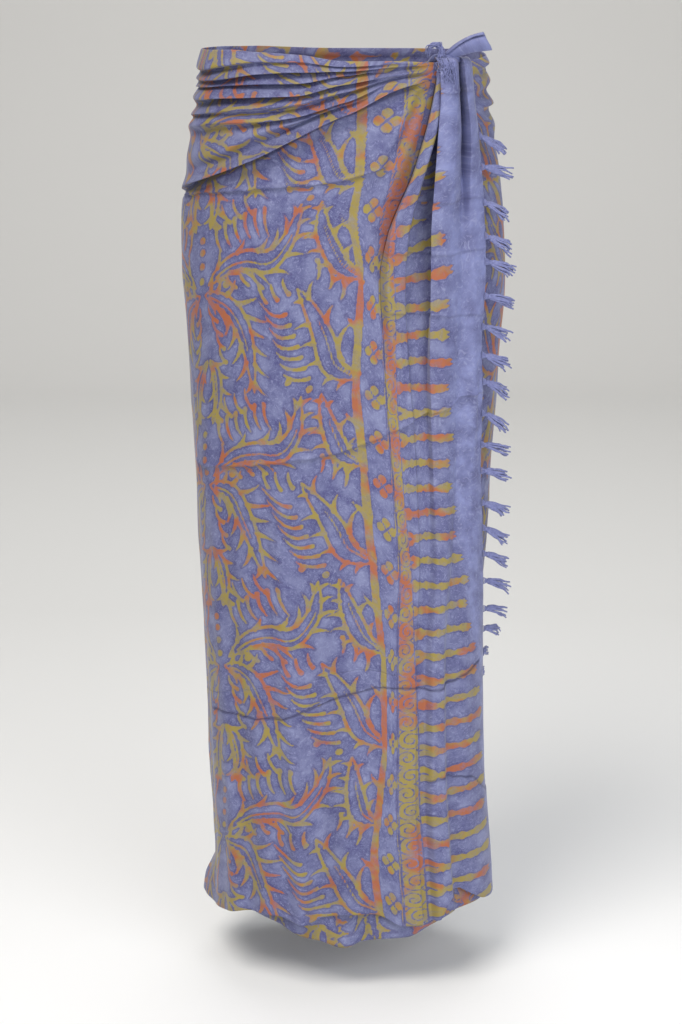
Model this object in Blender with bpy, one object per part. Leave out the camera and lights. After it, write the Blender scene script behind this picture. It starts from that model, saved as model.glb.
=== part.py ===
# A wrap sarong as it is worn: one rectangle of soft rayon wound about one and a third turns
# round a hollow body, gathered to a knot on the wearer's left hip, its fringed edge hanging
# from that knot.
#
# Metres, +Z up, +X to the viewer's right, +Y away from the viewer.
# The origin is the middle of the waist opening, where a wearer's waist holds the cloth.
#
# A place on the cloth is given by three values:
#   turn    degrees round the body: 0 at the viewer's right side, 90 at the front,
#           180 at the left side, 270 at the back and 360 at the right side again
#   height  millimetres above the waist (below it is negative)
#   lift    millimetres that the cloth stands out from the plain tube of SECTIONS

import math

import bmesh
import bpy
import numpy as np
from mathutils import Vector

MM = 0.001

WALL = 2.4                  # wall of the cloth, measured out from the body
SEAM_GAP = 0.3              # two pieces stay this far apart
MAX_SLOPE = 1.5             # steepest fold side: lift per millimetre along the cloth
LAYER_DROP = 8.5            # the inner front layer lies this far inside the tube
SIDE_SEAM_TURN = 205.0      # front panel ends here, just behind the left side
BACK_SEAM_TURN = 310.0      # back wrap ends here, where the tube bends most, and the right wrap starts
UNDER_SEAM_TURN = 400.0     # right wrap ends here, hidden under the knot's falls
INNER_END_TURN = 528.0      # short edge of the cloth, inside on the left
INNER_EDGE_DROP = 14.0      # its waist edge lies this far below the outer one
SQUARENESS = 2.3            # 2 is an ellipse, more is a rounder box
NARROWEST_RADIUS = 80.0     # of the tube, for turning a seam gap into degrees
SEAM_BLEND = 12.0           # degrees over which the front panel settles to its seam's lift
GATHER_FADE = 0.17          # share of the skirt's length over which the gathers die out
BACK_GATHER_FADE = 0.2
UNDER_TURNS = (376, 398)    # the right wrap sinks under the falls between these turns
CURL_TURNS = (462, 522)     # the inner layer leaves the front panel between these turns
CURL_DROPS = (4, 20)        # how far it leaves it, at the waist and at the hem

# The plain tube, in millimetres. Each row is a section: its height, then how far it reaches
# left, right, forward and back from the origin.
SECTIONS = (
    (40, 156, 155, 96, 92),
    (0, 162, 161, 102, 98),
    (-40, 167, 167, 108, 104),
    (-80, 173, 175, 113, 112),
    (-120, 178, 181, 117, 120),
    (-180, 188, 188, 121, 129),
    (-240, 190, 191, 123, 132),
    (-320, 186, 185, 123, 131),
    (-430, 182, 179, 122, 128),
    (-560, 178, 173, 120, 124),
    (-700, 173, 165, 118, 120),
    (-850, 170, 167, 117, 118),
    (-960, 168, 174, 117, 120),
    (-1080, 172, 182, 118, 122),
)

# Gathers of the front, from the waist edge down to the deep fold that runs from the left hip
# up to the knot. Each row is a ridge or a trough: its height at each turn of GATHER_TURNS,
# then its lift there.
GATHER_TURNS = (205, 180, 160, 140, 120, 105, 90, 75, 60)
GATHERS = (
    ("waist edge", (8, 8, 10, 9, 6, 6, 1, 1, -1), (4, 4, 4, 2, 1, 3, 4, 5, 9)),
    ("top roll", (-10, -9, -7, -1, 2, 2, -2, 0, -2), (8, 9, 9, 8, 6, 6, 6, 6, 10)),
    ("trough a", (-20, -18, -16, -10, -4, -2, -4, -1, -3), (1, 1, 1, 2, 3, 4, 4, 6, 10)),
    ("ridge a", (-25, -23, -21, -16, -9, -7, -7, -2, -4), (7, 7, 7, 8, 8, 8, 7, 7, 11)),
    ("trough b", (-31, -29, -27, -23, -15, -13, -11, -3, -5), (2, 2, 2, 1, 0, 0, 1, 7, 11)),
    ("ridge b", (-35, -33, -30, -27, -21, -20, -13, -4, -6), (6, 6, 6, 5, 7, 7, 6, 7, 11)),
    ("trough d", (-39, -36, -33, -31, -28, -26, -15, -5, -7), (1, 0, 0, 0, 0, 0, 1, 7, 11)),
    ("ridge d", (-48, -44, -40, -36, -33, -31, -18, -7, -9), (8, 9, 9, 9, 9, 9, 7, 8, 12)),
    ("trough e", (-62, -57, -52, -44, -40, -36, -24, -9, -11), (0, 0, 0, -1, -1, 1, 3, 8, 12)),
    ("roll e", (-68, -64, -58, -51, -46, -41, -29, -11, -13), (7, 8, 8, 8, 8, 8, 7, 8, 12)),
    ("valley f", (-76, -70, -63, -59, -56, -51, -35, -13, -15), (3, 3, 3, 4, 3, 3, 3, 8, 12)),
    ("ridge f", (-84, -77, -70, -65, -62, -56, -40, -15, -17), (9, 10, 9, 7, 7, 7, 7, 8, 13)),
    ("valley h", (-98, -92, -84, -78, -69, -60, -42, -16, -18), (3, 4, 3, 2, 2, 2, 3, 8, 13)),
    ("ridge h", (-118, -112, -106, -98, -76, -64, -44, -18, -20), (6, 7, 7, 7, 6, 5, 5, 8, 13)),
    ("hollow", (-145, -135, -124, -112, -93, -72, -46, -20, -22), (3, 4, 4, 3, 1, 0, 2, 8, 13)),
    ("deep lip", (-161, -149, -136, -120, -99, -76, -49, -22, -24), (6, 7, 9, 10, 10, 9, 8, 9, 13)),
    ("deep fold", (-170, -157, -142, -126, -105, -82, -53, -24, -26), (-1, -2, -3, -4, -4, -3, -1, 6, 12)),
    ("lower lip", (-178, -165, -150, -133, -112, -88, -58, -28, -30), (2, 2, 2, 2, 2, 2, 3, 7, 11)),
)

# The same gathers fade round the back and come up again under the knot.
BACK_TURNS = (205, 235, 270, 305, 335, 360, 380, 400)
BACK_FOLDS = (
    ("waist edge", (8, 6, 3, 3, 4, 1, -3, -8), (4, 3, 3, 2, 2, 2, -1, -9)),
    ("top roll", (-10, -10, -12, -10, -6, -7, -12, -16), (8, 6, 6, 5, 5, 4, 0, -9)),
    ("trough a", (-20, -20, -24, -20, -15, -15, -21, -26), (1, 1, 1, 0, 0, 0, -3, -9)),
    ("ridge b", (-35, -34, -38, -34, -27, -27, -32, -38), (6, 6, 5, 4, 4, 3, 0, -9)),
    ("trough d", (-39, -43, -52, -46, -38, -40, -44, -50), (1, 0, 1, 0, 0, -1, -4, -9)),
    ("ridge d", (-48, -56, -68, -62, -52, -52, -54, -60), (8, 6, 4, 4, 4, 3, 0, -9)),
    ("trough e", (-62, -72, -88, -82, -66, -62, -64, -70), (0, 0, 1, 0, 0, -2, -5, -9)),
    ("ridge f", (-84, -92, -108, -100, -84, -78, -78, -84), (9, 6, 4, 3, 3, 1, -2, -9)),
    ("valley h", (-98, -110, -130, -124, -104, -98, -98, -102), (3, 2, 1, 0, 0, -1, -4, -9)),
    ("ridge h", (-118, -134, -156, -150, -132, -126, -124, -124), (6, 4, 3, 2, 1, 0, -3, -9)),
    ("deep lip", (-161, -172, -190, -186, -170, -160, -156, -156), (6, 3, 1, 0, 0, 0, -3, -9)),
    ("deep fold", (-170, -190, -215, -210, -200, -190, -186, -186), (-1, 0, 0, 0, 0, 0, -3, -9)),
)

# Hem heights: turn against height. The outer hem, then the inner layer's.
HEM_TURNS = (-25, -10, 10, 25, 40, 46, 53, 63, 71, 78, 87, 99, 105, 117, 133, 153, 180, 205,
             240, 270, 305, 340, 360, 400)
HEM_HEIGHTS = (-1030, -1033, -1035, -1032, -1016, -1019, -1033, -1039, -1039, -1028, -1020,
               -1030, -1035, -1027, -1030, -1041, -1048, -1046, -1036, -1040, -1034, -1036,
               -1033, -1036)
INNER_HEM_TURNS = (400, 416, 429, 445, 451, 459, 467, 479, 489, 505, 528)
INNER_HEM_HEIGHTS = (-1037, -1048, -1060, -1060, -1071, -1062, -1057, -1043, -1040, -1036, -1034)

# Soft ridges and hollows of the long skirt, each a line from a top place to a bottom place:
# turn and height at the top, the same at the bottom, half width in degrees, lift top and bottom.
RIDGES = (
    ("pleat run-out", 79, -215, 92, -400, 5, 8, 0),
    ("thigh ridge", 127, -560, 120, -1060, 8, 2, 5),
    ("knee ridge", 112, -480, 105, -1060, 5, 1, 8),
    ("knee hollow", 99, -560, 96, -1060, 6, 0, -4),
    ("shin ridge", 88, -600, 88, -1060, 6, 1, 4),
    ("stripe hollow", 77, -520, 80, -1060, 5, -1, -4),
    ("side ridge", 155, -380, 150, -1060, 8, 2, 3),
    ("side hollow", 170, -500, 168, -1060, 7, -1, -4),
    ("left flute", 192, -905, 188, -1075, 13, -4, 13),
    ("back flute 1", 228, -300, 224, -1060, 10, 1, 9),
    ("back hollow 1", 246, -300, 243, -1060, 9, 0, -4),
    ("back flute 2", 264, -320, 262, -1060, 10, 1, 8),
    ("back hollow 2", 281, -320, 280, -1060, 8, 0, -4),
    ("back flute 3", 297, -330, 297, -1060, 9, 1, 9),
    ("back hollow 3", 314, -330, 313, -1060, 8, 0, -3),
    ("back flute 4", 329, -330, 328, -1060, 8, 1, 4),
)

# The fringed end of the cloth falls from the knot in folds. Each row is a fold line: its turn
# at each height of FALL_HEIGHTS, then its lift there.
FALL_HEIGHTS = (20, -12, -40, -65, -95, -128, -161, -194, -240, -310, -390, -480, -620, -780,
                -920, -1050)
FALLS = (
    ("seam",
     (53, 53, 55, 59, 65, 70, 74, 78, 81, 79, 77, 74, 70, 70, 71, 70),
     (12, 10, 8, 6, 4, 3, 2, 2, 2, 2, 1, 1, 1, 0, 1, 3)),
    ("pleat left",
     (53, 53, 54, 57, 62, 67, 71, 74, 77, 75, 72, 69, 66, 66, 67, 66),
     (16, 16, 15, 14, 14, 14, 13, 11, 7, 2, 1, 1, 1, 0, 1, 4)),
    ("pleat right",
     (52, 52, 53, 56, 60, 64, 68, 71, 73, 71, 68, 65, 62, 62, 63, 62),
     (17, 16, 15, 14, 13, 12, 11, 9, 5, 1, 0, 1, 1, 1, 2, 5)),
    ("gap",
     (51, 51, 52, 54, 57, 60, 64, 67, 68, 67, 64, 61, 58, 58, 59, 58),
     (18, 16, 13, 9, 4, 1, 0, 0, 0, 0, 0, 1, 1, 2, 3, 4)),
    ("left fall edge",
     (50, 50, 51, 53, 55, 58, 61, 63, 64, 63, 61, 58, 54, 54, 55, 54),
     (20, 19, 18, 17, 16, 15, 14, 12, 11, 9, 6, 3, 2, 2, 3, 4)),
    ("left fall crown",
     (48, 48, 48, 49, 52, 54, 57, 58, 59, 58, 56, 53, 50, 49, 49, 48),
     (21, 22, 23, 22, 20, 18, 17, 15, 13, 11, 9, 7, 7, 8, 10, 12)),
    ("valley",
     (43, 43, 43, 43, 45, 47, 48, 48, 48, 47, 46, 46, 45, 44, 43, 42),
     (17, 11, 6, 5, 6, 7, 8, 8, 8, 7, 6, 4, 3, 1, 0, -2)),
    ("right fall crown",
     (40, 40, 40, 40, 41, 42, 43, 43, 42, 41, 39, 37, 34, 31, 29, 28),
     (18, 18, 17, 16, 13, 11, 10, 9, 8, 8, 7, 6, 6, 6, 6, 6)),
    ("fringe side",
     (37, 37, 38, 38, 39, 40, 40, 40, 40, 39, 36, 33, 26, 13, 7, 4),
     (15, 14, 12, 11, 10, 9, 9, 8, 8, 8, 7, 7, 7, 7, 9, 11)),
    ("fringed edge",
     (35, 35, 36, 36, 37, 38, 38, 38, 38, 37, 33, 30, 18, -7, -15, -19),
     (12, 11, 10, 9, 8, 8, 8, 8, 8, 7, 7, 6, 6, 6, 6, 7)),
)
FALL_TOP_HEIGHT = 3.0       # the falls start here, under the knot's roll

# Grid steps of the solids
FRONT_COLUMNS = 32
FRONT_ROWS_BELOW = 19
FALL_STEPS_BETWEEN = 2
BACK_COLUMNS = 14               # in each of its two stretches
BACK_ROWS_BELOW = 11
INNER_COLUMNS = 13
FALL_ROWS_KEPT = (0, 9, 17)     # rows of the gathers that the falls share at their seam

# Tassels of the fringe, one node each
TASSEL_COUNT = 27
TASSEL_FIRST_HEIGHT = -84.0
TASSEL_LAST_HEIGHT = -1006.0
TASSEL_UNEVENNESS = 4.0         # how far a tassel may sit off its even place
STRANDS = 6                     # strands of three sides in each tassel
HEAD_LENGTH = 8.0
HEAD_RADII = (1.5, 2.9, 2.4)    # at the cloth, at the tied knot, where the strands leave
HEAD_SHARES = (0.0, 0.45, 1.0)
HEAD_LEAN = (18, 48)            # degrees below level, from one tassel to the next
STRAND_LENGTH = 25.0
STRAND_BENDS = ((0.5, 0.25), (0.5, 0.60))   # share of the length, and how much it falls there
STRAND_SPREAD = 0.30            # sideways splay of the outer strands
STRAND_TIP_SHARE = 0.45         # a strand's tip against its root
STRAND_LIFT = 0.16              # the tassels stand a little out from the cloth behind
FAN_FLATNESS = 0.35             # each tassel fans out flat against that cloth

# Knot pieces: centre lines in millimetres, x y z
KNOT_ROLL_PATH = ((104, -92, 4.8), (109, -100, 8.8), (120, -101, 9.4), (131, -95, 8.8), (139, -84, 7.0))
KNOT_ROLL_RADII = (3.5, 4.8, 5.4, 4.8, 3.2)
ROLL_FLATNESS = 0.9
ROLL_SIDES = 10
TAIL_PATH = ((119, -97, 16.7), (133, -92, 20.4), (147, -86, 21.6), (161, -80, 22.4))
TAIL_RADII = (3.4, 6.0, 8.5, 9.5)
TAIL_FLATNESS = 0.62            # the rolled tail is wider than it is deep
TAIL_WALL = 1.8
TAIL_LEAST = 0.8                # half depth of its hollow where it is narrowest
TAIL_SIDES = 12
WISP_PATH = ((106, -99, 14.3), (107, -99, 20), (103, -99, 25), (96, -99, 25), (91, -99, 21),
             (90, -98, 13))
WISP_WIDTH = 7.0
WISP_WALL = 1.6

CLOTH_COLOUR = (0.30, 0.33, 0.62, 1.0)
THREAD_COLOUR = (0.34, 0.37, 0.66, 1.0)


# Clearing the scene

def clear_scene():
    for item in list(bpy.data.objects):
        bpy.data.objects.remove(item, do_unlink=True)


def named_collection(name):
    group = bpy.data.collections.new(name)
    bpy.context.scene.collection.children.link(group)
    return group


def cloth_material(name, colour, roughness):
    material = bpy.data.materials.new(name)
    material.use_nodes = True
    shader = material.node_tree.nodes["Principled BSDF"]
    shader.inputs["Base Color"].default_value = colour
    shader.inputs["Roughness"].default_value = roughness
    shader.inputs["Metallic"].default_value = 0.0
    return material


# Smooth curves through the tables

def through(at, places, values):
    """A smooth curve through (place, value) that never swings past its values."""
    places = np.asarray(places, float)
    values = np.asarray(values, float)
    if places[0] > places[-1]:
        places = places[::-1]
        values = values[::-1]
    step = np.diff(places)
    rise = np.diff(values) / step
    slope = np.empty_like(values)
    slope[0] = rise[0]
    slope[-1] = rise[-1]
    same_way = rise[:-1] * rise[1:] > 0
    weight_a = step[1:] * 2 + step[:-1]
    weight_b = step[1:] + step[:-1] * 2
    safe_a = np.where(same_way, rise[:-1], 1.0)
    safe_b = np.where(same_way, rise[1:], 1.0)
    mean = (weight_a + weight_b) / (weight_a / safe_a + weight_b / safe_b)
    slope[1:-1] = np.where(same_way, mean, 0.0)
    at = np.clip(at, places[0], places[-1])
    k = np.clip(np.searchsorted(places, at, side="right") - 1, 0, len(places) - 2)
    t = (at - places[k]) / step[k]
    near = (1 + 2 * t) * (1 - t) ** 2 * values[k] + t * (1 - t) ** 2 * step[k] * slope[k]
    far = t * t * (3 - 2 * t) * values[k + 1] + t * t * (t - 1) * step[k] * slope[k + 1]
    return near + far


SECTION_TABLE = np.array(SECTIONS, float)


def place(turn, height, lift):
    """Millimetres x, y, z of a place on the cloth."""
    angle = np.radians(turn)
    left, right, front, back = (
        through(height, SECTION_TABLE[:, 0], SECTION_TABLE[:, column]) for column in range(1, 5)
    )
    middle = (right - left) / 2
    half_width = (right + left) / 2
    c = np.cos(angle)
    s = np.sin(angle)
    half_depth = np.where(s > 0, front, back)
    px = np.sign(c) * np.abs(c) ** (2 / SQUARENESS)
    py = -np.sign(s) * np.abs(s) ** (2 / SQUARENESS)
    nx = np.sign(px) * np.abs(px) ** (SQUARENESS - 1) / half_width
    ny = np.sign(py) * np.abs(py) ** (SQUARENESS - 1) / half_depth
    size = np.hypot(nx, ny)
    x = middle + half_width * px + lift * nx / size
    y = half_depth * py + lift * ny / size
    return np.stack(np.broadcast_arrays(x, y, height), axis=-1)


def ridge_lift(turn, height):
    """Lift of the soft ridges and hollows at a place."""
    total = np.zeros(np.broadcast(turn, height).shape)
    for name, turn_a, height_a, turn_b, height_b, width, lift_a, lift_b in RIDGES:
        share = np.clip((height - height_a) / (height_b - height_a), 0, 1)
        middle = turn_a + (turn_b - turn_a) * share
        fade_in = np.clip((height_a + 60 - height) / 120, 0, 1)
        fade_in = fade_in * fade_in * (3 - 2 * fade_in)
        fade_out = np.clip((height - height_b + 50) / 50, 0, 1)
        across = np.exp(-((turn - middle) / width) ** 2)
        total = total + (lift_a + (lift_b - lift_a) * share) * across * fade_in * fade_out
    return total


def seam_turn(height):
    return through(height, FALL_HEIGHTS, FALLS[0][1])


def seam_lift(height):
    return through(height, FALL_HEIGHTS, FALLS[0][2])


def eased(share):
    share = np.clip(share, 0, 1)
    return share * share * (3 - 2 * share)


def limit_slope(points, lift, axis):
    """Lower ridges until no fold side is steeper than MAX_SLOPE along the given axis."""
    lift = np.moveaxis(lift.copy(), axis, 0)
    rows = np.moveaxis(points, axis, 0)
    run = np.linalg.norm(np.diff(rows, axis=0), axis=-1)
    for i in range(1, len(lift)):
        lift[i] = np.minimum(lift[i], lift[i - 1] + MAX_SLOPE * run[i - 1])
    for i in range(len(lift) - 2, -1, -1):
        lift[i] = np.minimum(lift[i], lift[i + 1] + MAX_SLOPE * run[i])
    return np.moveaxis(lift, 0, axis)


# Grids of turn, height and lift for each stretch of the cloth

def front_grid():
    """Rows follow the gathers, so they fan out from the knot. Columns run down from the waist."""
    share = np.linspace(0, 1, FRONT_COLUMNS + 1)
    rows = []
    for name, heights, lifts in GATHERS:
        turn = np.full(share.shape, 100.0)
        for _ in range(6):
            height = through(turn, GATHER_TURNS, heights)
            start = seam_turn(height)
            turn = start + (SIDE_SEAM_TURN - start) * share
        lift = through(turn, GATHER_TURNS, lifts)
        join = eased((turn - seam_turn(height)) / SEAM_BLEND)
        lift = seam_lift(height) + (lift - seam_lift(height)) * join
        rows.append((turn, height, lift))
    top_turn, top_height, top_lift = rows[-1]
    for row in range(1, FRONT_ROWS_BELOW + 1):
        down = row / FRONT_ROWS_BELOW
        turn = top_turn
        for _ in range(6):
            hem = through(turn, HEM_TURNS, HEM_HEIGHTS)
            height = top_height + (hem - top_height) * down
            start = seam_turn(height)
            turn = start + (SIDE_SEAM_TURN - start) * share
        fade = 1 - eased(down / GATHER_FADE)
        join = eased((turn - start) / SEAM_BLEND)
        own_lift = top_lift * fade + ridge_lift(turn, height)
        lift = own_lift * join + seam_lift(height) * (1 - join)
        rows.append((turn, height, lift))
    turn, height, lift = (np.array([row[i] for row in rows]) for i in range(3))
    turn[:, 0] += half_gap_turn()
    turn[:, -1] -= half_gap_turn()
    return turn, height, lift


def half_gap_turn():
    """Half a seam gap as degrees of turn on the narrowest part of the tube."""
    return math.degrees(SEAM_GAP / 2 / NARROWEST_RADIUS)


def fall_grid():
    """Columns follow the fold lines of the fringed end. Rows meet the front panel's at the seam."""
    front_height = front_grid()[1]
    seam_heights = [front_height[row, 0] for row in FALL_ROWS_KEPT]
    seam_heights += list(front_height[len(GATHERS):, 0])
    seam_heights[0] = FALL_TOP_HEIGHT
    lines_turn = np.array([[through(h, FALL_HEIGHTS, line[1]) for line in FALLS] for h in seam_heights])
    lines_lift = np.array([[through(h, FALL_HEIGHTS, line[2]) for line in FALLS] for h in seam_heights])
    line_places = np.arange(len(FALLS))
    places = np.linspace(0, len(FALLS) - 1, (len(FALLS) - 1) * FALL_STEPS_BETWEEN + 1)
    turn = np.array([through(places, line_places, row) for row in lines_turn])
    lift = np.array([through(places, line_places, row) for row in lines_lift])
    seam_heights = np.array(seam_heights)[:, None]
    hem_here = through(turn, HEM_TURNS, HEM_HEIGHTS)
    hem_seam = hem_here[-1, 0]
    down = (seam_heights / hem_seam) ** 2
    height = seam_heights + (hem_here - hem_seam) * down
    turn[:, 0] -= half_gap_turn()
    return turn, height, lift


def back_grid(first_turn, last_turn):
    """Rows of the back run level round the body, under the same gathers as the front."""
    turn_row = np.linspace(first_turn, last_turn, BACK_COLUMNS + 1)
    turn_row[0] += half_gap_turn()
    turn_row[-1] -= half_gap_turn()
    under = eased((turn_row - UNDER_TURNS[0]) / (UNDER_TURNS[1] - UNDER_TURNS[0]))
    rows = []
    for name, heights, lifts in BACK_FOLDS:
        height = through(turn_row, BACK_TURNS, heights)
        rows.append((turn_row, height, through(turn_row, BACK_TURNS, lifts)))
    top_height, top_lift = rows[-1][1:]
    hem = through(turn_row, HEM_TURNS, HEM_HEIGHTS)
    for row in range(1, BACK_ROWS_BELOW + 1):
        down = row / BACK_ROWS_BELOW
        height = top_height + (hem - top_height) * down
        fade = 1 - eased(down / BACK_GATHER_FADE)
        lift = top_lift * fade + ridge_lift(turn_row, height)
        lift = lift * (1 - under) - LAYER_DROP * under
        rows.append((turn_row, height, lift))
    return tuple(np.array([row[i] for row in rows]) for i in range(3))


def inner_grid():
    """The start of the cloth, wound under the front. Its far edge curls in towards the legs."""
    share = np.linspace(0, 1, INNER_COLUMNS + 1)
    turn_row = UNDER_SEAM_TURN + (INNER_END_TURN - UNDER_SEAM_TURN) * share
    turn_row[0] += half_gap_turn()
    seam_heights = back_grid(BACK_SEAM_TURN, UNDER_SEAM_TURN)[1][:, -1]
    hem = through(turn_row, INNER_HEM_TURNS, INNER_HEM_HEIGHTS)
    top = through(turn_row - 360, GATHER_TURNS, GATHERS[0][1]) - INNER_EDGE_DROP
    curl = eased((turn_row - CURL_TURNS[0]) / (CURL_TURNS[1] - CURL_TURNS[0]))
    clear_of_seam = eased((turn_row - UNDER_SEAM_TURN) / SEAM_BLEND)
    rows = []
    for seam_height in seam_heights:
        down = (seam_height - seam_heights[0]) / (seam_heights[-1] - seam_heights[0])
        height = seam_height + (top - seam_heights[0]) * (1 - down) * clear_of_seam
        height = height + (hem - seam_heights[-1]) * down
        lift = -LAYER_DROP - curl * (CURL_DROPS[0] + (CURL_DROPS[1] - CURL_DROPS[0]) * down)
        rows.append((turn_row, height, lift))
    return tuple(np.array([row[i] for row in rows]) for i in range(3))


# Meshes

def mesh_object(name, vertices, faces, material, group):
    mesh = bpy.data.meshes.new(name)
    mesh.from_pydata([tuple(v) for v in vertices], [], faces)
    mesh.validate()
    fix = bmesh.new()
    fix.from_mesh(mesh)
    bmesh.ops.recalc_face_normals(fix, faces=fix.faces)
    fix.to_mesh(mesh)
    fix.free()
    mesh.materials.append(material)
    mesh.shade_smooth()
    item = bpy.data.objects.new(name, mesh)
    group.objects.link(item)
    return item


def sheet_faces(rows, columns):
    """Faces of a closed sheet: outer grid, inner grid and the rim between them."""
    count = rows * columns
    faces = []
    for r in range(rows - 1):
        for c in range(columns - 1):
            a = r * columns + c
            faces.append((a, a + 1, a + columns + 1, a + columns))
            b = a + count
            faces.append((b + columns, b + columns + 1, b + 1, b))
    rim = [c for c in range(columns)]
    rim += [r * columns + columns - 1 for r in range(1, rows)]
    rim += [(rows - 1) * columns + c for c in range(columns - 2, -1, -1)]
    rim += [r * columns for r in range(rows - 2, 0, -1)]
    for here, after in zip(rim, rim[1:] + rim[:1]):
        faces.append((here, here + count, after + count, after))
    return faces


def wall_sides(grid):
    """Outer and inner points of a wall of cloth, the inner ones a wall's depth inside."""
    turn, height, lift = grid
    flat = place(turn, height, 0 * lift)
    lift = limit_slope(flat, lift, 0)
    lift = limit_slope(flat, lift, 1)
    return place(turn, height, lift), place(turn, height, lift - WALL)


def cloth_sheet(name, grid, material, group):
    outer, inner = wall_sides(grid)
    vertices = np.vstack([outer.reshape(-1, 3), inner.reshape(-1, 3)]) * MM
    rows, columns = grid[0].shape
    return mesh_object(name, vertices, sheet_faces(rows, columns), material, group)


def loft(name, rings, material, group):
    """A solid through rings of equal count, capped at both ends."""
    sides = len(rings[0])
    vertices = np.vstack(rings)
    faces = []
    for k in range(len(rings) - 1):
        for i in range(sides):
            j = (i + 1) % sides
            faces.append((k * sides + i, k * sides + j, (k + 1) * sides + j, (k + 1) * sides + i))
    last = (len(rings) - 1) * sides
    faces.append(tuple(range(sides)))
    faces.append(tuple(range(last, last + sides)))
    return mesh_object(name, vertices, faces, material, group)


def frames_along(path):
    """Centre, side and up vectors at each point of a path."""
    points = [Vector(p) * MM for p in path]
    frames = []
    for k, point in enumerate(points):
        before = points[max(k - 1, 0)]
        after = points[min(k + 1, len(points) - 1)]
        along = (after - before).normalized()
        out = Vector((point.x, point.y, 0)).normalized()
        side = along.cross(out).normalized()
        frames.append((point, side, side.cross(along).normalized()))
    return frames


def ring_round(centre, side, out, radius_side, radius_out, sides):
    ring = []
    for i in range(sides):
        angle = 2 * math.pi * i / sides
        ring.append(centre + side * math.cos(angle) * radius_side + out * math.sin(angle) * radius_out)
    return np.array([tuple(p) for p in ring])


def knot_roll(material, group):
    """The twisted roll of cloth that crosses over the heads of the falls."""
    rings = []
    for (centre, side, out), radius in zip(frames_along(KNOT_ROLL_PATH), KNOT_ROLL_RADII):
        rings.append(ring_round(centre, side, out, radius * MM, radius * ROLL_FLATNESS * MM, ROLL_SIDES))
    return loft("knot_roll", rings, material, group)


def knot_tail(material, group):
    """The rolled corner of the cloth, an open tube that points up and to the right."""
    outside = []
    inside = []
    for (centre, side, out), radius in zip(frames_along(TAIL_PATH), TAIL_RADII):
        deep = radius * TAIL_FLATNESS
        outside.append(ring_round(centre, side, out, radius * MM, deep * MM, TAIL_SIDES))
        inside.append(ring_round(
            centre, side, out, (radius - TAIL_WALL) * MM, max(deep - TAIL_WALL, TAIL_LEAST) * MM, TAIL_SIDES
        ))
    return loft("knot_tail", outside + inside[:0:-1], material, group)


def corner_wisp(material, group):
    """The other corner, a small curl of frayed cloth."""
    rings = []
    for centre, side, out in frames_along(WISP_PATH):
        half = WISP_WALL / 2 * MM
        wide = WISP_WIDTH / 2 * MM
        corners = ((-half, -wide), (half, -wide), (half, wide), (-half, wide))
        rings.append(np.array([tuple(centre + side * a + out * b) for a, b in corners]))
    return loft("corner_wisp", rings, material, group)


# The fringe

def edge_point(height, grid):
    """A point on the fringed edge, half way through its wall, and the way the edge faces."""
    outer, inner = wall_sides(grid)
    middle = (outer[:, -1] + inner[:, -1]) / 2
    before = (outer[:, -2] + inner[:, -2]) / 2
    heights = middle[::-1, 2]
    here, back, facing = (
        Vector([np.interp(height, heights, side[::-1, axis]) for axis in range(3)])
        for side in (middle, before, outer[:, -1])
    )
    return here, (here - back).normalized(), (facing - here).normalized()


def tassel(number, height, lean, falls, material, group):
    """A tied head and its strands, as one solid. The strands grow from the head's own faces."""
    edge, away, out = edge_point(height, falls)
    down = Vector((0, 0, -1))
    along = (away * math.cos(lean) + down * math.sin(lean) + out * STRAND_LIFT).normalized()
    side = along.cross(out).normalized()
    up = side.cross(along).normalized()
    start = edge + away * (SEAM_GAP * 1.5 + HEAD_RADII[0] * math.sin(lean))
    rings = []
    for share, radius in zip(HEAD_SHARES, HEAD_RADII):
        centre = start + along * HEAD_LENGTH * share
        rings.append([
            centre + side * math.cos(a) * radius + up * math.sin(a) * radius
            for a in (2 * math.pi * i / STRANDS for i in range(STRANDS))
        ])
    build = bmesh.new()
    rows = [[build.verts.new(p * MM) for p in ring] for ring in rings]
    middle = build.verts.new((start + along * HEAD_LENGTH) * MM)
    build.faces.new(rows[0][::-1])
    for upper, lower in zip(rows, rows[1:]):
        for i in range(STRANDS):
            j = (i + 1) % STRANDS
            build.faces.new((upper[i], upper[j], lower[j], lower[i]))
    roots = [build.faces.new((rows[-1][i], rows[-1][(i + 1) % STRANDS], middle)) for i in range(STRANDS)]
    bmesh.ops.recalc_face_normals(build, faces=build.faces)
    for index, root in enumerate(roots):
        angle = 2 * math.pi * (index + 0.5) / STRANDS
        splay = side * math.cos(angle) + up * math.sin(angle) * FAN_FLATNESS
        length = STRAND_LENGTH * (0.85 + 0.15 * math.cos(index * 2.1 + number))
        face = root
        for step, fall in STRAND_BENDS:
            way = (along + splay * STRAND_SPREAD + down * fall).normalized()
            grown = bmesh.ops.extrude_discrete_faces(build, faces=[face])
            face = grown["faces"][0]
            centre = face.calc_center_median()
            shrink = STRAND_TIP_SHARE ** step
            for vertex in face.verts:
                vertex.co = centre + (vertex.co - centre) * shrink + way * length * step * MM
    mesh = bpy.data.meshes.new("tassel")
    bmesh.ops.recalc_face_normals(build, faces=build.faces)
    build.to_mesh(mesh)
    build.free()
    mesh.materials.append(material)
    item = bpy.data.objects.new(f"tassel_{number:02d}", mesh)
    group.objects.link(item)
    return item


def fringe(falls, material, group):
    chance = np.random.default_rng(7)
    evenly = np.linspace(TASSEL_FIRST_HEIGHT, TASSEL_LAST_HEIGHT, TASSEL_COUNT)
    for number, height in enumerate(evenly, start=1):
        off = chance.uniform(-TASSEL_UNEVENNESS, TASSEL_UNEVENNESS)
        lean = math.radians(chance.uniform(*HEAD_LEAN))
        tassel(number, height + off, lean, falls, material, group)


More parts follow.
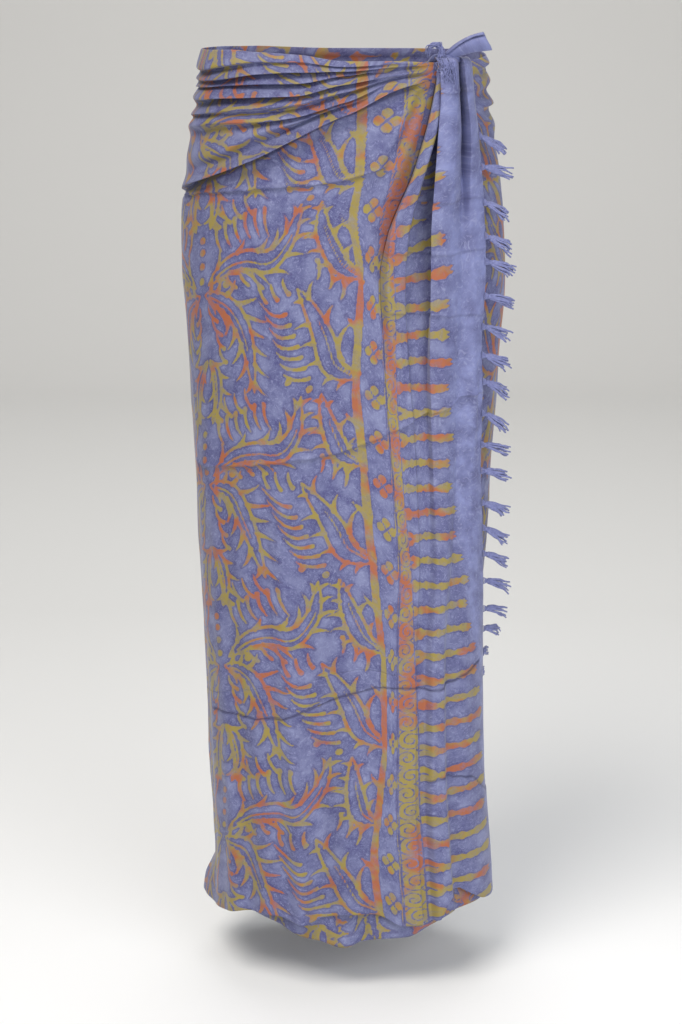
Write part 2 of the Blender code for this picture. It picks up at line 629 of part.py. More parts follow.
def main():
    clear_scene()
    group = named_collection("sarong")
    cloth = cloth_material("printed rayon", CLOTH_COLOUR, 0.62)
    thread = cloth_material("rayon thread", THREAD_COLOUR, 0.7)
    cloth_sheet("front_panel", front_grid(), cloth, group)
    falls = fall_grid()
    cloth_sheet("border_fall", falls, cloth, group)
    cloth_sheet("back_wrap", back_grid(SIDE_SEAM_TURN, BACK_SEAM_TURN), cloth, group)
    cloth_sheet("right_wrap", back_grid(BACK_SEAM_TURN, UNDER_SEAM_TURN), cloth, group)
    cloth_sheet("inner_front", inner_grid(), cloth, group)
    knot_roll(cloth, group)
    knot_tail(cloth, group)
    corner_wisp(thread, group)
    fringe(falls, thread, group)


main()
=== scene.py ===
# A wrap sarong of printed rayon as it is worn, knotted on the left hip with its fringed edge
# hanging from the knot.
#
# A place on the cloth is given by three values, as in the part's own source:
#   turn    degrees round the body: 0 at the viewer's right side, 90 at the front,
#           180 at the left side, 270 at the back and 360 at the right side again
#   height  millimetres above the waist (below it is negative)
#   lift    millimetres that the cloth stands out from the plain tube of SECTIONS
# A place in the cloth's print is given by two values:
#   across  millimetres from the fringed edge
#   up      millimetres up from the hem

import math

import bpy
import numpy as np
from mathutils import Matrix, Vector


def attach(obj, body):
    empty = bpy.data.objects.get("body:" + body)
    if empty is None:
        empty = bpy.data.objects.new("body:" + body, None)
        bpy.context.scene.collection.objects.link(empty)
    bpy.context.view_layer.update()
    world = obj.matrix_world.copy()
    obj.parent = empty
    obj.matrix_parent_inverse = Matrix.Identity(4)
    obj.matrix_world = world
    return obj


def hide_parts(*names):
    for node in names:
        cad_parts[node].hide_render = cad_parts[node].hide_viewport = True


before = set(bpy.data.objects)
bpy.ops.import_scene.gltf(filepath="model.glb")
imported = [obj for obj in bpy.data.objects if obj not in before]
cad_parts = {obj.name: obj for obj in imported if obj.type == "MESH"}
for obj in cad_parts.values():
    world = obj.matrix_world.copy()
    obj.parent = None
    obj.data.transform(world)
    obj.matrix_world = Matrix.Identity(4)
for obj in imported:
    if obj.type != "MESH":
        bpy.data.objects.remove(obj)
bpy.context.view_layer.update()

MM = 0.001
TINY = 1e-9
DOWN = np.array([0, 0, -1.0])

CLOTH_THICKNESS = 0.8
INSIDE_STEP = 4             # the cloth's inside keeps every fourth row and column
LAYER_DROP = 8.5            # the inner front layer lies this far inside the tube
SIDE_SEAM_TURN = 205.0
BACK_SEAM_TURN = 310.0
UNDER_SEAM_TURN = 400.0
INNER_END_TURN = 528.0
INNER_EDGE_DROP = 14.0
SQUARENESS = 2.3
SEAM_BLEND = 12.0
GATHER_FADE = 0.17
BACK_GATHER_FADE = 0.2
UNDER_TURNS = (376, 398)
CURL_TURNS = (462, 522)
CURL_DROPS = (4, 20)

# The plain tube, in millimetres. Each row is a section: its height, then how far it reaches
# left, right, forward and back from the origin.
SECTIONS = (
    (40, 156, 155, 96, 92),
    (0, 162, 161, 102, 98),
    (-40, 167, 167, 108, 104),
    (-80, 173, 175, 113, 112),
    (-120, 178, 181, 117, 120),
    (-180, 188, 188, 121, 129),
    (-240, 190, 191, 123, 132),
    (-320, 186, 185, 123, 131),
    (-430, 182, 179, 122, 128),
    (-560, 178, 173, 120, 124),
    (-700, 173, 165, 118, 120),
    (-850, 170, 167, 117, 118),
    (-960, 168, 174, 117, 120),
    (-1080, 172, 182, 118, 122),
)

# Gathers of the front: a ridge's or trough's height at each turn, then its lift there.
GATHER_TURNS = (205, 180, 160, 140, 120, 105, 90, 75, 60)
GATHERS = (
    ("waist edge", (8, 8, 10, 9, 6, 6, 1, 1, -1), (4, 4, 4, 2, 1, 3, 4, 5, 9)),
    ("top roll", (-10, -9, -7, -1, 2, 2, -2, -1, -2), (8, 9, 9, 8, 6, 6, 7, 8, 10)),
    ("trough a", (-20, -18, -16, -10, -4, -2, -4, -3, -3), (1, 1, 1, 2, 3, 4, 4, 7, 10)),
    ("ridge a", (-25, -23, -21, -16, -9, -7, -7, -5, -4), (7, 7, 7, 8, 8, 8, 7, 7, 10)),
    ("trough b", (-31, -29, -27, -23, -15, -13, -10, -7, -5), (2, 2, 2, 1, 0, 0, 2, 5, 9)),
    ("ridge b", (-35, -33, -30, -27, -21, -20, -13, -9, -6), (6, 6, 6, 5, 7, 7, 6, 4, 9)),
    ("trough d", (-39, -36, -33, -31, -28, -26, -16, -11, -7), (1, 0, 0, 0, 0, 0, 0, 5, 10)),
    ("ridge d", (-48, -44, -40, -36, -33, -31, -20, -13, -9), (8, 9, 9, 9, 9, 9, 8, 9, 12)),
    ("trough e", (-62, -57, -52, -44, -40, -36, -25, -15, -10), (0, 0, 0, -1, -1, 0, 1, 8, 12)),
    ("roll e", (-68, -64, -58, -51, -46, -41, -29, -17, -12), (7, 8, 8, 8, 8, 8, 7, 6, 11)),
    ("valley f", (-76, -70, -63, -59, -56, -51, -35, -19, -13), (3, 3, 3, 4, 3, 2, 1, 4, 10)),
    ("ridge f", (-84, -77, -70, -65, -62, -56, -39, -21, -14), (9, 10, 9, 7, 7, 7, 8, 7, 11)),
    ("valley h", (-98, -92, -84, -78, -69, -60, -42, -23, -15), (3, 4, 3, 2, 2, 2, 3, 8, 12)),
    ("ridge h", (-118, -112, -106, -98, -76, -64, -45, -25, -16), (6, 7, 7, 7, 6, 5, 5, 8, 13)),
    ("hollow", (-145, -135, -124, -112, -93, -72, -48, -27, -17), (3, 4, 4, 3, 1, 0, 3, 9, 13)),
    ("deep lip", (-161, -149, -136, -120, -99, -76, -51, -30, -19), (6, 7, 9, 10, 10, 10, 10, 10, 13)),
    ("deep fold", (-170, -157, -142, -126, -105, -82, -55, -33, -21), (-1, -2, -3, -4, -4, -4, -3, 1, 10)),
    ("lower lip", (-178, -165, -150, -133, -112, -88, -61, -38, -26), (2, 2, 2, 2, 2, 2, 3, 5, 10)),
)

# The same gathers fade round the back and come up again under the knot.
BACK_TURNS = (205, 235, 270, 305, 335, 360, 380, 400)
BACK_FOLDS = (
    ("waist edge", (8, 6, 3, 3, 4, 1, -3, -8), (4, 3, 3, 2, 2, 2, -1, -9)),
    ("top roll", (-10, -10, -12, -10, -6, -7, -12, -16), (8, 6, 6, 5, 5, 4, 0, -9)),
    ("trough a", (-20, -20, -24, -20, -15, -15, -21, -26), (1, 1, 1, 0, 0, 0, -3, -9)),
    ("ridge b", (-35, -34, -38, -34, -27, -27, -32, -38), (6, 6, 5, 4, 4, 3, 0, -9)),
    ("trough d", (-39, -43, -52, -46, -38, -40, -44, -50), (1, 0, 1, 0, 0, -1, -4, -9)),
    ("ridge d", (-48, -56, -68, -62, -52, -52, -54, -60), (8, 6, 4, 4, 4, 3, 0, -9)),
    ("trough e", (-62, -72, -88, -82, -66, -62, -64, -70), (0, 0, 1, 0, 0, -2, -5, -9)),
    ("ridge f", (-84, -92, -108, -100, -84, -78, -78, -84), (9, 6, 4, 3, 3, 1, -2, -9)),
    ("valley h", (-98, -110, -130, -124, -104, -98, -98, -102), (3, 2, 1, 0, 0, -1, -4, -9)),
    ("ridge h", (-118, -134, -156, -150, -132, -126, -124, -124), (6, 4, 3, 2, 1, 0, -3, -9)),
    ("deep lip", (-161, -172, -190, -186, -170, -160, -156, -156), (6, 3, 1, 0, 0, 0, -3, -9)),
    ("deep fold", (-170, -190, -215, -210, -200, -190, -186, -186), (-1, 0, 0, 0, 0, 0, -3, -9)),
)

# Hem heights: turn against height. The outer hem, then the inner layer's.
HEM_TURNS = (-25, -10, 10, 22, 32, 40, 46, 50, 54, 63, 71, 78, 87, 99, 105, 117, 133, 153, 180,
             205, 240, 270, 305, 340, 360, 400)
HEM_HEIGHTS = (-1030, -1033, -1034, -1029, -1016, -1004, -1004, -1016, -1035, -1040, -1039, -1028,
               -1020, -1030, -1035, -1027, -1030, -1041, -1048, -1046, -1036, -1040, -1034, -1036,
               -1033, -1036)
INNER_HEM_TURNS = (400, 416, 429, 445, 451, 459, 467, 479, 489, 505, 528)
INNER_HEM_HEIGHTS = (-1037, -1048, -1060, -1060, -1071, -1062, -1057, -1043, -1040, -1036, -1034)

# Soft ridges and hollows of the long skirt: turn and height at the top, the same at the
# bottom, half width in degrees, lift top and bottom.
RIDGES = (
    ("pleat run-out", 79, -215, 92, -400, 5, 8, 0),
    ("knot hollow", 62, -30, 88, -170, 3.0, -9, -2),
    ("knot ridge", 64, -30, 96, -190, 3.2, 3, 0),
    ("thigh ridge", 127, -560, 120, -1060, 8, 2, 5),
    ("knee ridge", 112, -480, 105, -1060, 4.5, 2, 10),
    ("knee hollow", 100, -500, 97, -1060, 5.5, -1, -7),
    ("shin ridge", 89, -600, 88, -1060, 5, 1, 6),
    ("stripe hollow", 77, -520, 80, -1060, 5, -1, -6),
    ("side ridge", 150, -380, 140, -1060, 6, 2, 6),
    ("side crease", 136, -600, 130, -1060, 5, 0, -4),
    ("side hollow", 170, -500, 168, -1060, 7, -1, -4),
    ("left pinch", 190, -880, 188, -990, 15, 0, -7),
    ("left flute", 192, -985, 190, -1040, 13, 4, 15),
    ("back flute 1", 228, -300, 224, -1060, 10, 1, 9),
    ("back hollow 1", 246, -300, 243, -1060, 9, 0, -4),
    ("back flute 2", 264, -320, 262, -1060, 10, 1, 8),
    ("back hollow 2", 281, -320, 280, -1060, 8, 0, -4),
    ("back flute 3", 297, -330, 297, -1060, 9, 1, 9),
    ("back hollow 3", 314, -330, 313, -1060, 8, 0, -3),
    ("back flute 4", 329, -330, 328, -1060, 8, 1, 4),
)

# The fringed end falls from the knot in folds. Each row is a fold line: its turn at each
# height of FALL_HEIGHTS, then its lift there.
FALL_HEIGHTS = (20, -12, -40, -65, -95, -128, -161, -194, -240, -310, -390, -480, -620, -780,
                -920, -1050)
FALLS = (
    ("seam",
     (54.2, 55.5, 58, 61, 65, 69.4, 74.4, 78.2, 80.5, 79, 77, 74, 70, 70, 71, 70),
     (10, 8, 5, 2, -1, -3, -4, -4, -3, 0, 1, 1, 1, 0, 1, 3)),
    ("pleat left",
     (54.6, 56.3, 59.3, 62.6, 66.6, 70.8, 75.2, 78, 78.5, 76, 73, 70, 66, 66, 67, 66),
     (14, 15, 16, 17, 18, 18, 17, 15, 11, 5, 1, 1, 1, 0, 1, 4)),
    ("pleat right",
     (53.8, 55, 56.2, 59, 62.9, 66.8, 70.2, 72.3, 73, 71, 68, 65, 62, 62, 63, 62),
     (15, 16, 16, 17, 17, 16, 15, 13, 9, 3, 1, 1, 1, 1, 2, 5)),
    ("pleat foot",
     (52, 51.8, 51.7, 54.2, 58.4, 63.2, 67, 69.8, 71.5, 70, 67, 64, 61, 61, 62, 61),
     (10, 5, -2, -5, -8, -9, -9, -8, -6, -4, -2, -1, -1, -1, 0, 1)),
    ("gap",
     (51.2, 51, 50.4, 52.2, 54.7, 57.2, 59, 60.5, 61.6, 62, 61.2, 59, 57, 57, 58, 57),
     (9, 3, -4, -7, -9, -9, -9, -8, -6, -4, -2, -1, -2, -2, -2, -1)),
    ("left fall edge",
     (54.6, 56, 57, 58.8, 60.6, 62.3, 63.5, 64.1, 64.2, 63, 61, 58, 54, 54, 55, 54),
     (17, 19, 20, 19, 18, 18, 17, 15, 13, 10, 8, 7, 7, 8, 9, 9)),
    ("left fall crown",
     (51.5, 52.6, 53.5, 55, 56.8, 58.2, 59.4, 60, 59.5, 58, 56, 53, 50, 49, 49, 48),
     (22, 23, 23, 22, 21, 20, 18, 16, 14, 12, 10, 9, 9, 9, 11, 12)),
    ("left fall side",
     (46.7, 48.3, 49.4, 51, 52.9, 54.2, 55.3, 55.6, 55, 53, 51, 49, 47, 46.5, 46, 45),
     (19, 20, 20, 20, 19, 17, 15, 13, 11, 9, 7, 6, 5, 4, 4, 4)),
    ("valley",
     (42.5, 42, 41, 42, 44, 46.3, 48.2, 49.4, 49.6, 48.5, 47, 46, 45, 44, 43, 42),
     (8, 2, -4, -5, -5, -2, 2, 5, 6, 5, 4, 3, 2, 0, -1, -3)),
    ("right fall crown",
     (43, 43.8, 44, 43.9, 44.6, 45.4, 45.4, 45.2, 44, 42, 39, 37, 34, 31, 29, 28),
     (19, 20, 20, 18, 16, 13, 10, 9, 9, 9, 9, 8, 7, 7, 7, 7)),
    ("fringe side",
     (38, 38.8, 39, 39, 39.2, 39.4, 39.9, 39.8, 40, 39, 36, 33, 26, 13, 7, 4),
     (14, 15, 15, 13, 11, 9, 9, 8, 8, 8, 7, 7, 7, 7, 9, 11)),
    ("fringed edge",
     (35.5, 36, 36.2, 36.5, 36.9, 37.2, 37.6, 37.8, 38, 37, 33, 30, 18, -7, -15, -19),
     (10, 11, 10, 9, 8, 8, 8, 8, 8, 7, 7, 6, 6, 6, 6, 7)),
)
FALL_TOP_HEIGHT = -4.0
LEFT_FALL_EDGE = 5              # its place in FALLS
HEAD_ROUNDING = 7.5             # radius over which the falls' heads bend back into the knot
HEAD_STEPS = 16
HEAD_BEND = 165.0               # degrees

# The stem of the print: its turn at each height, and its distance from the fringed edge. The
# seam's distance from that edge is given at each height of FALL_HEIGHTS.
STEM_HEIGHTS = (20, -52, -122, -166, -239, -359, -435, -543, -617, -718, -807, -871, -975, -1060)
STEM_TURNS = (85, 86, 87, 88, 86, 87, 85, 82, 79, 75, 75, 77, 81, 78)
STEM_ACROSS = 199.0
LEFT_EDGE_ACROSS = (40, 41, 43, 45, 48, 51, 55, 60, 68, 90, 120, 140, 140, 140, 140, 140)
SEAM_ACROSS = (134, 132, 130, 130, 131, 134, 138, 145, 153, 157, 157, 157, 157, 157, 157, 157)

# Packing creases. Each is a line of turns and heights, its ridge's height in millimetres, and
# how dark the shade painted along its sharp line is.
CREASES = (
    ("hip crease", (171, 151, 142, 127, 105, 91, 81, 77),
     (-156, -148, -148, -142, -136, -128, -115, -112), 3.0, 0.3),
    ("thigh crease", (165, 150, 133, 107, 91, 79, 69, 63, 52, 47, 32),
     (-466, -469, -462, -451, -438, -420, -407, -396, -387, -378, -376), 3.2, 0.3),
    ("small crease", (44, 32), (-410, -426), 1.0, 0.2),
    ("shin crease", (160, 154, 133, 112, 104, 90, 79, 50, 47, 16),
     (-776, -774, -772, -768, -760, -736, -726, -735, -733, -713), -1.2, 0.9),
    ("fringe crease", (58, 47, 27, 9, -8), (-850, -849, -861, -894, -900), -1.2, 0.8),
    ("knot crease", (60, 50, 36), (-31, -34, -30), 1.2, 0.25),
    ("fall crease 1", (80, 60, 36), (-150, -153, -148), 1.4, 0.25),
    ("fall crease 2", (84, 60, 36), (-206, -211, -207), 1.4, 0.25),
    ("fall crease 3", (80, 60, 36), (-275, -280, -284), 1.4, 0.25),
    ("back crease 1", (215, 260, 300, 350), (-470, -462, -474, -460), 1.2, 0.3),
    ("back crease 2", (212, 255, 310, 352), (-776, -768, -780, -770), -1.0, 0.6),
)

# Knot pieces: centre lines in millimetres, x y z
KNOT_ROLL_PATH = ((104, -92, 4.8), (109, -100, 8.8), (120, -101, 9.4), (131, -95, 8.8), (139, -84, 7.0))
KNOT_ROLL_RADII = (3.5, 4.8, 5.4, 4.8, 3.2)
TAIL_PATH = ((112, -86, 3), (126, -87, 12), (143, -86, 18.5), (158, -88, 21.5))
TAIL_RADII = (5.5, 8.4, 10.8, 12.0)
TAIL_FLATNESS = 0.68
WISP_PATH = ((104, -99, 6), (105, -99, 14), (101.5, -99, 19.5), (96, -99, 20), (91, -99, 16),
             (89.5, -98, 7))

# Tassels of the fringe
TASSEL_COUNT = 27
TASSEL_FIRST_HEIGHT = -84.0
TASSEL_LAST_HEIGHT = -1006.0
TASSEL_UNEVENNESS = 4.0
HEAD_LEAN = (6, 30)
STRAND_LENGTH = 29.0
STRAND_LIFT = 0.16
TASSEL_SWING = 1.5              # the tassels stick out sideways rather than round the body
THREADS = 12                    # twisted threads in each tassel
LOW_TASSELS = (-620, -740)      # between these heights the tassels grow shorter and swing less
KNOT_REACH = 5.0                # from the cloth's edge to the middle of a tassel's knot
WARP_THREADS = 6
WARP_SPACING = 1.5
WARP_RADIUS = 0.55
COIL_POINTS = 40
COIL_TURNS = 2.6
COIL_RADIUS = 0.95


# Smooth curves through the tables

def through(at, places, values):
    """A smooth curve through (place, value) that never swings past its values."""
    places = np.asarray(places, float)
    values = np.asarray(values, float)
    if places[0] > places[-1]:
        places = places[::-1]
        values = values[::-1]
    more = (1,) * (values.ndim - 1)
    step = np.diff(places).reshape((-1,) + more)
    rise = np.diff(values, axis=0) / step
    slope = np.empty_like(values)
    slope[0] = rise[0]
    slope[-1] = rise[-1]
    same_way = rise[:-1] * rise[1:] > 0
    weight_a = step[1:] * 2 + step[:-1]
    weight_b = step[1:] + step[:-1] * 2
    safe_a = np.where(same_way, rise[:-1], 1.0)
    safe_b = np.where(same_way, rise[1:], 1.0)
    mean = (weight_a + weight_b) / (weight_a / safe_a + weight_b / safe_b)
    slope[1:-1] = np.where(same_way, mean, 0.0)
    at = np.clip(np.asarray(at, float), places[0], places[-1])
    k = np.clip(np.searchsorted(places, at, side="right") - 1, 0, len(places) - 2)
    t = ((at - places[k]) / (places[k + 1] - places[k])).reshape(np.shape(at) + more)
    width = step[k]
    near = (1 + 2 * t) * (1 - t) ** 2 * values[k] + t * (1 - t) ** 2 * width * slope[k]
    far = t * t * (3 - 2 * t) * values[k + 1] + t * t * (t - 1) * width * slope[k + 1]
    return near + far


def eased(share):
    share = np.clip(share, 0, 1)
    return share * share * (3 - 2 * share)


def between(value, first, last):
    """0 before the first value, 1 after the last, and eased between them."""
    return eased((value - first) / (last - first))


NOISE_CELLS = 64            # cells each way before the noise repeats


def soft_noise(x, y, size, seed):
    """Smooth random values from -1 to 1 over places x, y, with features of the given size."""
    chance = np.random.default_rng(seed)
    table = chance.uniform(-1, 1, (NOISE_CELLS, NOISE_CELLS))
    gx = x / size
    gy = y / size
    ix = np.floor(gx).astype(int)
    iy = np.floor(gy).astype(int)
    fx = eased(gx - ix)
    fy = eased(gy - iy)
    left = ix % NOISE_CELLS
    right = (ix + 1) % NOISE_CELLS
    low, high = (
        table[left, row % NOISE_CELLS] * (1 - fx) + table[right, row % NOISE_CELLS] * fx
        for row in (iy, iy + 1)
    )
    return low * (1 - fy) + high * fy


SECTION_TABLE = np.array(SECTIONS, float)


def place(turn, height, lift):
    """Millimetres x, y, z of a place on the cloth."""
    turn, height, lift = np.broadcast_arrays(turn, height, lift)
    angle = np.radians(turn)
    left, right, front, back = (
        through(height, SECTION_TABLE[:, 0], SECTION_TABLE[:, column]) for column in range(1, 5)
    )
    middle = (right - left) / 2
    half_width = (right + left) / 2
    c = np.cos(angle)
    s = np.sin(angle)
    half_depth = np.where(s > 0, front, back)
    px = np.sign(c) * np.abs(c) ** (2 / SQUARENESS)
    py = -np.sign(s) * np.abs(s) ** (2 / SQUARENESS)
    nx = np.sign(px) * np.abs(px) ** (SQUARENESS - 1) / half_width
    ny = np.sign(py) * np.abs(py) ** (SQUARENESS - 1) / half_depth
    size = np.hypot(nx, ny)
    x = middle + half_width * px + lift * nx / size
    y = half_depth * py + lift * ny / size
    return np.stack([x, y, height], axis=-1)


RIDGE_FADE_IN = 120.0       # millimetres over which a ridge rises round its top
RIDGE_FADE_OUT = 50.0       # and over which it ends above its foot


def ridge_lift(turn, height):
    """Lift of the soft ridges and hollows at a place."""
    total = np.zeros(np.broadcast(turn, height).shape)
    for name, turn_a, height_a, turn_b, height_b, width, lift_a, lift_b in RIDGES:
        share = np.clip((height - height_a) / (height_b - height_a), 0, 1)
        middle = turn_a + (turn_b - turn_a) * share
        fade_in = eased((height_a + RIDGE_FADE_IN / 2 - height) / RIDGE_FADE_IN)
        fade_out = np.clip((height - height_b + RIDGE_FADE_OUT) / RIDGE_FADE_OUT, 0, 1)
        across = np.exp(-((turn - middle) / width) ** 2)
        total = total + (lift_a + (lift_b - lift_a) * share) * across * fade_in * fade_out
    return total


def stacked(rows):
    """Rows of (turn, height, lift, ...) as one grid of each."""
    return [np.array(values) for values in zip(*rows)]


def seam_turn(height):
    return through(height, FALL_HEIGHTS, FALLS[0][1])


def seam_lift(height):
    return through(height, FALL_HEIGHTS, FALLS[0][2])


# Lines of turn, height and lift for each stretch of the cloth

SKIRT_LINES = 60
SKIRT_CROWDING = 1.3        # over 1, the lines lie closer together at the top
SETTLING_STEPS = 6          # rounds in which a line's heights and turns settle
GATHER_MIDDLE = 4.0         # lift about which the gathers are made bolder or softer
FRONT_GATHER_GAIN = 1.75
SIDE_GATHER_GAIN = 0.6
BACK_GATHER_GAIN = 1.5
LEFT_SIDE_TURNS = (150, 176)    # between these the gain goes from the front's to the side's
BACK_SIDE_TURNS = (207, 247)
DEEPEST_TROUGH = -7.0


def bolder(turn, lift):
    """Gathers stand out more across the front and the back than at the left side."""
    gain = FRONT_GATHER_GAIN + (SIDE_GATHER_GAIN - FRONT_GATHER_GAIN) * between(turn, *LEFT_SIDE_TURNS)
    gain = gain + (BACK_GATHER_GAIN - SIDE_GATHER_GAIN) * between(turn, *BACK_SIDE_TURNS)
    return np.maximum(GATHER_MIDDLE + (lift - GATHER_MIDDLE) * gain, DEEPEST_TROUGH)


def front_lines(columns):
    share = np.linspace(0, 1, columns)
    rows = []
    for name, heights, lifts in GATHERS:
        turn = np.full(share.shape, 100.0)
        for _ in range(SETTLING_STEPS):
            height = through(turn, GATHER_TURNS, heights)
            start = seam_turn(height)
            turn = start + (SIDE_SEAM_TURN - start) * share
        lift = bolder(turn, through(turn, GATHER_TURNS, lifts))
        join = eased((turn - start) / SEAM_BLEND)
        lift = seam_lift(height) + (lift - seam_lift(height)) * join
        rows.append((turn, height, lift))
    top_turn, top_height, top_lift = rows[-1]
    for row in range(1, SKIRT_LINES + 1):
        down = (row / SKIRT_LINES) ** SKIRT_CROWDING
        turn = top_turn
        for _ in range(SETTLING_STEPS):
            hem = through(turn, HEM_TURNS, HEM_HEIGHTS)
            height = top_height + (hem - top_height) * down
            start = seam_turn(height)
            turn = start + (SIDE_SEAM_TURN - start) * share
        fade = 1 - eased(down / GATHER_FADE)
        join = eased((turn - start) / SEAM_BLEND)
        own_lift = top_lift * fade + ridge_lift(turn, height)
        rows.append((turn, height, own_lift * join + seam_lift(height) * (1 - join)))
    return stacked(rows)


def back_lines(first_turn, last_turn, columns):
    turn = np.linspace(first_turn, last_turn, columns)
    under = between(turn, *UNDER_TURNS)
    rows = []
    for name, heights, lifts in BACK_FOLDS:
        lift = through(turn, BACK_TURNS, lifts)
        lift = lift + (bolder(turn, lift) - lift) * (1 - under)
        rows.append((turn, through(turn, BACK_TURNS, heights), lift))
    top_height, top_lift = rows[-1][1:]
    hem = through(turn, HEM_TURNS, HEM_HEIGHTS)
    for row in range(1, SKIRT_LINES + 1):
        down = (row / SKIRT_LINES) ** SKIRT_CROWDING
        height = top_height + (hem - top_height) * down
        lift = top_lift * (1 - eased(down / BACK_GATHER_FADE)) + ridge_lift(turn, height)
        rows.append((turn, height, lift * (1 - under) - LAYER_DROP * under))
    return stacked(rows)


def inner_lines(columns):
    share = np.linspace(0, 1, columns)
    turn = UNDER_SEAM_TURN + (INNER_END_TURN - UNDER_SEAM_TURN) * share
    seam_heights = back_lines(BACK_SEAM_TURN, UNDER_SEAM_TURN, 3)[1][:, -1]
    hem = through(turn, INNER_HEM_TURNS, INNER_HEM_HEIGHTS)
    top = through(turn - 360, GATHER_TURNS, GATHERS[0][1]) - INNER_EDGE_DROP
    curl = between(turn, *CURL_TURNS)
    clear_of_seam = eased((turn - UNDER_SEAM_TURN) / SEAM_BLEND)
    rows = []
    for seam_height in seam_heights:
        down = (seam_height - seam_heights[0]) / (seam_heights[-1] - seam_heights[0])
        height = seam_height + (top - seam_heights[0]) * (1 - down) * clear_of_seam
        height = height + (hem - seam_heights[-1]) * down
        lift = -LAYER_DROP - curl * (CURL_DROPS[0] + (CURL_DROPS[1] - CURL_DROPS[0]) * down)
        rows.append((turn, height, lift))
    return stacked(rows)


def fall_lines(columns):
    hem_seam = through(through(-1050, FALL_HEIGHTS, FALLS[0][1]), HEM_TURNS, HEM_HEIGHTS)
    seam_heights = FALL_TOP_HEIGHT + (hem_seam - FALL_TOP_HEIGHT) * np.linspace(0, 1, 90) ** 1.2
    places = np.linspace(0, len(FALLS) - 1, columns)
    line_turns = np.array([through(seam_heights, FALL_HEIGHTS, line[1]) for line in FALLS])
    line_lifts = np.array([through(seam_heights, FALL_HEIGHTS, line[2]) for line in FALLS])
    turn = through(places, np.arange(len(FALLS)), line_turns).T
    lift = through(places, np.arange(len(FALLS)), line_lifts).T
    hem_here = through(turn, HEM_TURNS, HEM_HEIGHTS)
    down = (seam_heights[:, None] / hem_seam) ** 2
    height = seam_heights[:, None] + (hem_here - hem_here[-1, 0]) * down
    return [turn, height, lift]


def fine_rows(lines, spacing, first=0, last=None):
    """Lines filled in with rows about as far apart as the spacing, in millimetres."""
    turn, height, lift = lines
    last = len(turn) - 1 if last is None else last
    points = place(turn, height, lift)
    longest = np.linalg.norm(np.diff(points, axis=0), axis=-1).max(axis=1)
    at = []
    for k in range(first, last):
        steps = max(4, int(math.ceil(longest[k] / spacing)))
        at.extend(k + np.arange(steps) / steps)
    at.append(float(last))
    while (len(at) - 1) % INSIDE_STEP:
        at.insert(-1, (at[-2] + at[-1]) / 2)
    places = np.arange(len(turn))
    return [through(np.array(at), places, values) for values in lines]


# Small relief

SAG = 0.62                  # how far a gather leans down for each millimetre it stands out
SAG_DEPTH = 240.0           # the lean fades out over this depth below the waist
SAG_TURNS = (66, 96)        # it comes up over these turns from the knot
BACK_SAG_TURNS = (215, 275)  # and falls to half of it over these
CREASE_WIDTH = 2.1          # millimetres
CREASE_REACH = 14.0         # the cloth still bends this far from a crease
CREASE_NOISE_SEED = 11


def sagged(turn, height, lift):
    """Gathers lean down over the troughs below them, less near the knot."""
    lean = SAG * between(turn, *SAG_TURNS) * eased((height + SAG_DEPTH) / 110)
    lean = lean * (1 - 0.5 * between(turn, *BACK_SAG_TURNS))
    return height - lean * (lift - GATHER_MIDDLE)


def crease_relief(turn, height):
    """Lift of the packing creases, and how dark the shade painted just under each one is."""
    lift = np.zeros(turn.shape)
    dark = np.zeros(turn.shape)
    for name, turns, heights, size, shade_strength in CREASES:
        order = np.argsort(turns)
        turns = np.array(turns, float)[order]
        heights = np.array(heights, float)[order]
        wobble = soft_noise(turn, height * 0, 4.0, CREASE_NOISE_SEED)
        line = np.interp(turn, turns, heights) + wobble * 1.2
        inside = eased((turn - turns[0]) / 4) * eased((turns[-1] - turn) / 4)
        off = height - line
        lift += inside * size * np.exp(-(off / CREASE_WIDTH) ** 2)
        lift += inside * 0.4 * size * np.tanh(off / 4) * np.exp(-(off / CREASE_REACH) ** 2)
        # Painted shade: a sharp dark line just under the crease's ridge, where its shadow falls
        dark = np.maximum(dark, inside * shade_strength * np.exp(-((off + 1.4) / 1.3) ** 2))
    return lift, dark


MM_IN_A_DEGREE = 3.2        # along the cloth, at the hips
WAVE_SIZE = 34.0            # long slight waves, and finer ones across them
FINE_WAVE_SIZE = 15.0
WAVE_SEED = 3
FINE_WAVE_SEED = 5
WAVE_LIFT = 1.1
FINE_WAVE_LIFT = 0.35
WAVE_HEIGHTS = (-120, -280)     # the waves reach their full lift between these heights
WAVES_ABOVE = 0.35              # the share of it that they have above them


def small_folds(turn, height):
    """Slight waves that a worn cloth has everywhere."""
    round_way = turn * MM_IN_A_DEGREE
    low = soft_noise(round_way + height * 0.25, height * 0.35, WAVE_SIZE, WAVE_SEED)
    fine = soft_noise(round_way - height * 0.3, height * 0.6, FINE_WAVE_SIZE, FINE_WAVE_SEED)
    share = WAVES_ABOVE + (1 - WAVES_ABOVE) * between(height, *WAVE_HEIGHTS)
    return (low * WAVE_LIFT + fine * FINE_WAVE_LIFT) * share


# Print, laid out in millimetres across and up the cloth

TILE_WIDE = 190.0           # half of the leaf field's width, mirrored about its edges
TILE_HIGH = 225.0
TILE_SPREAD = 1.1           # the tile is drawn this much narrower than it is printed
TILE_STEP = 0.75
FAR = 12.0                  # distances from a motif are kept up to this

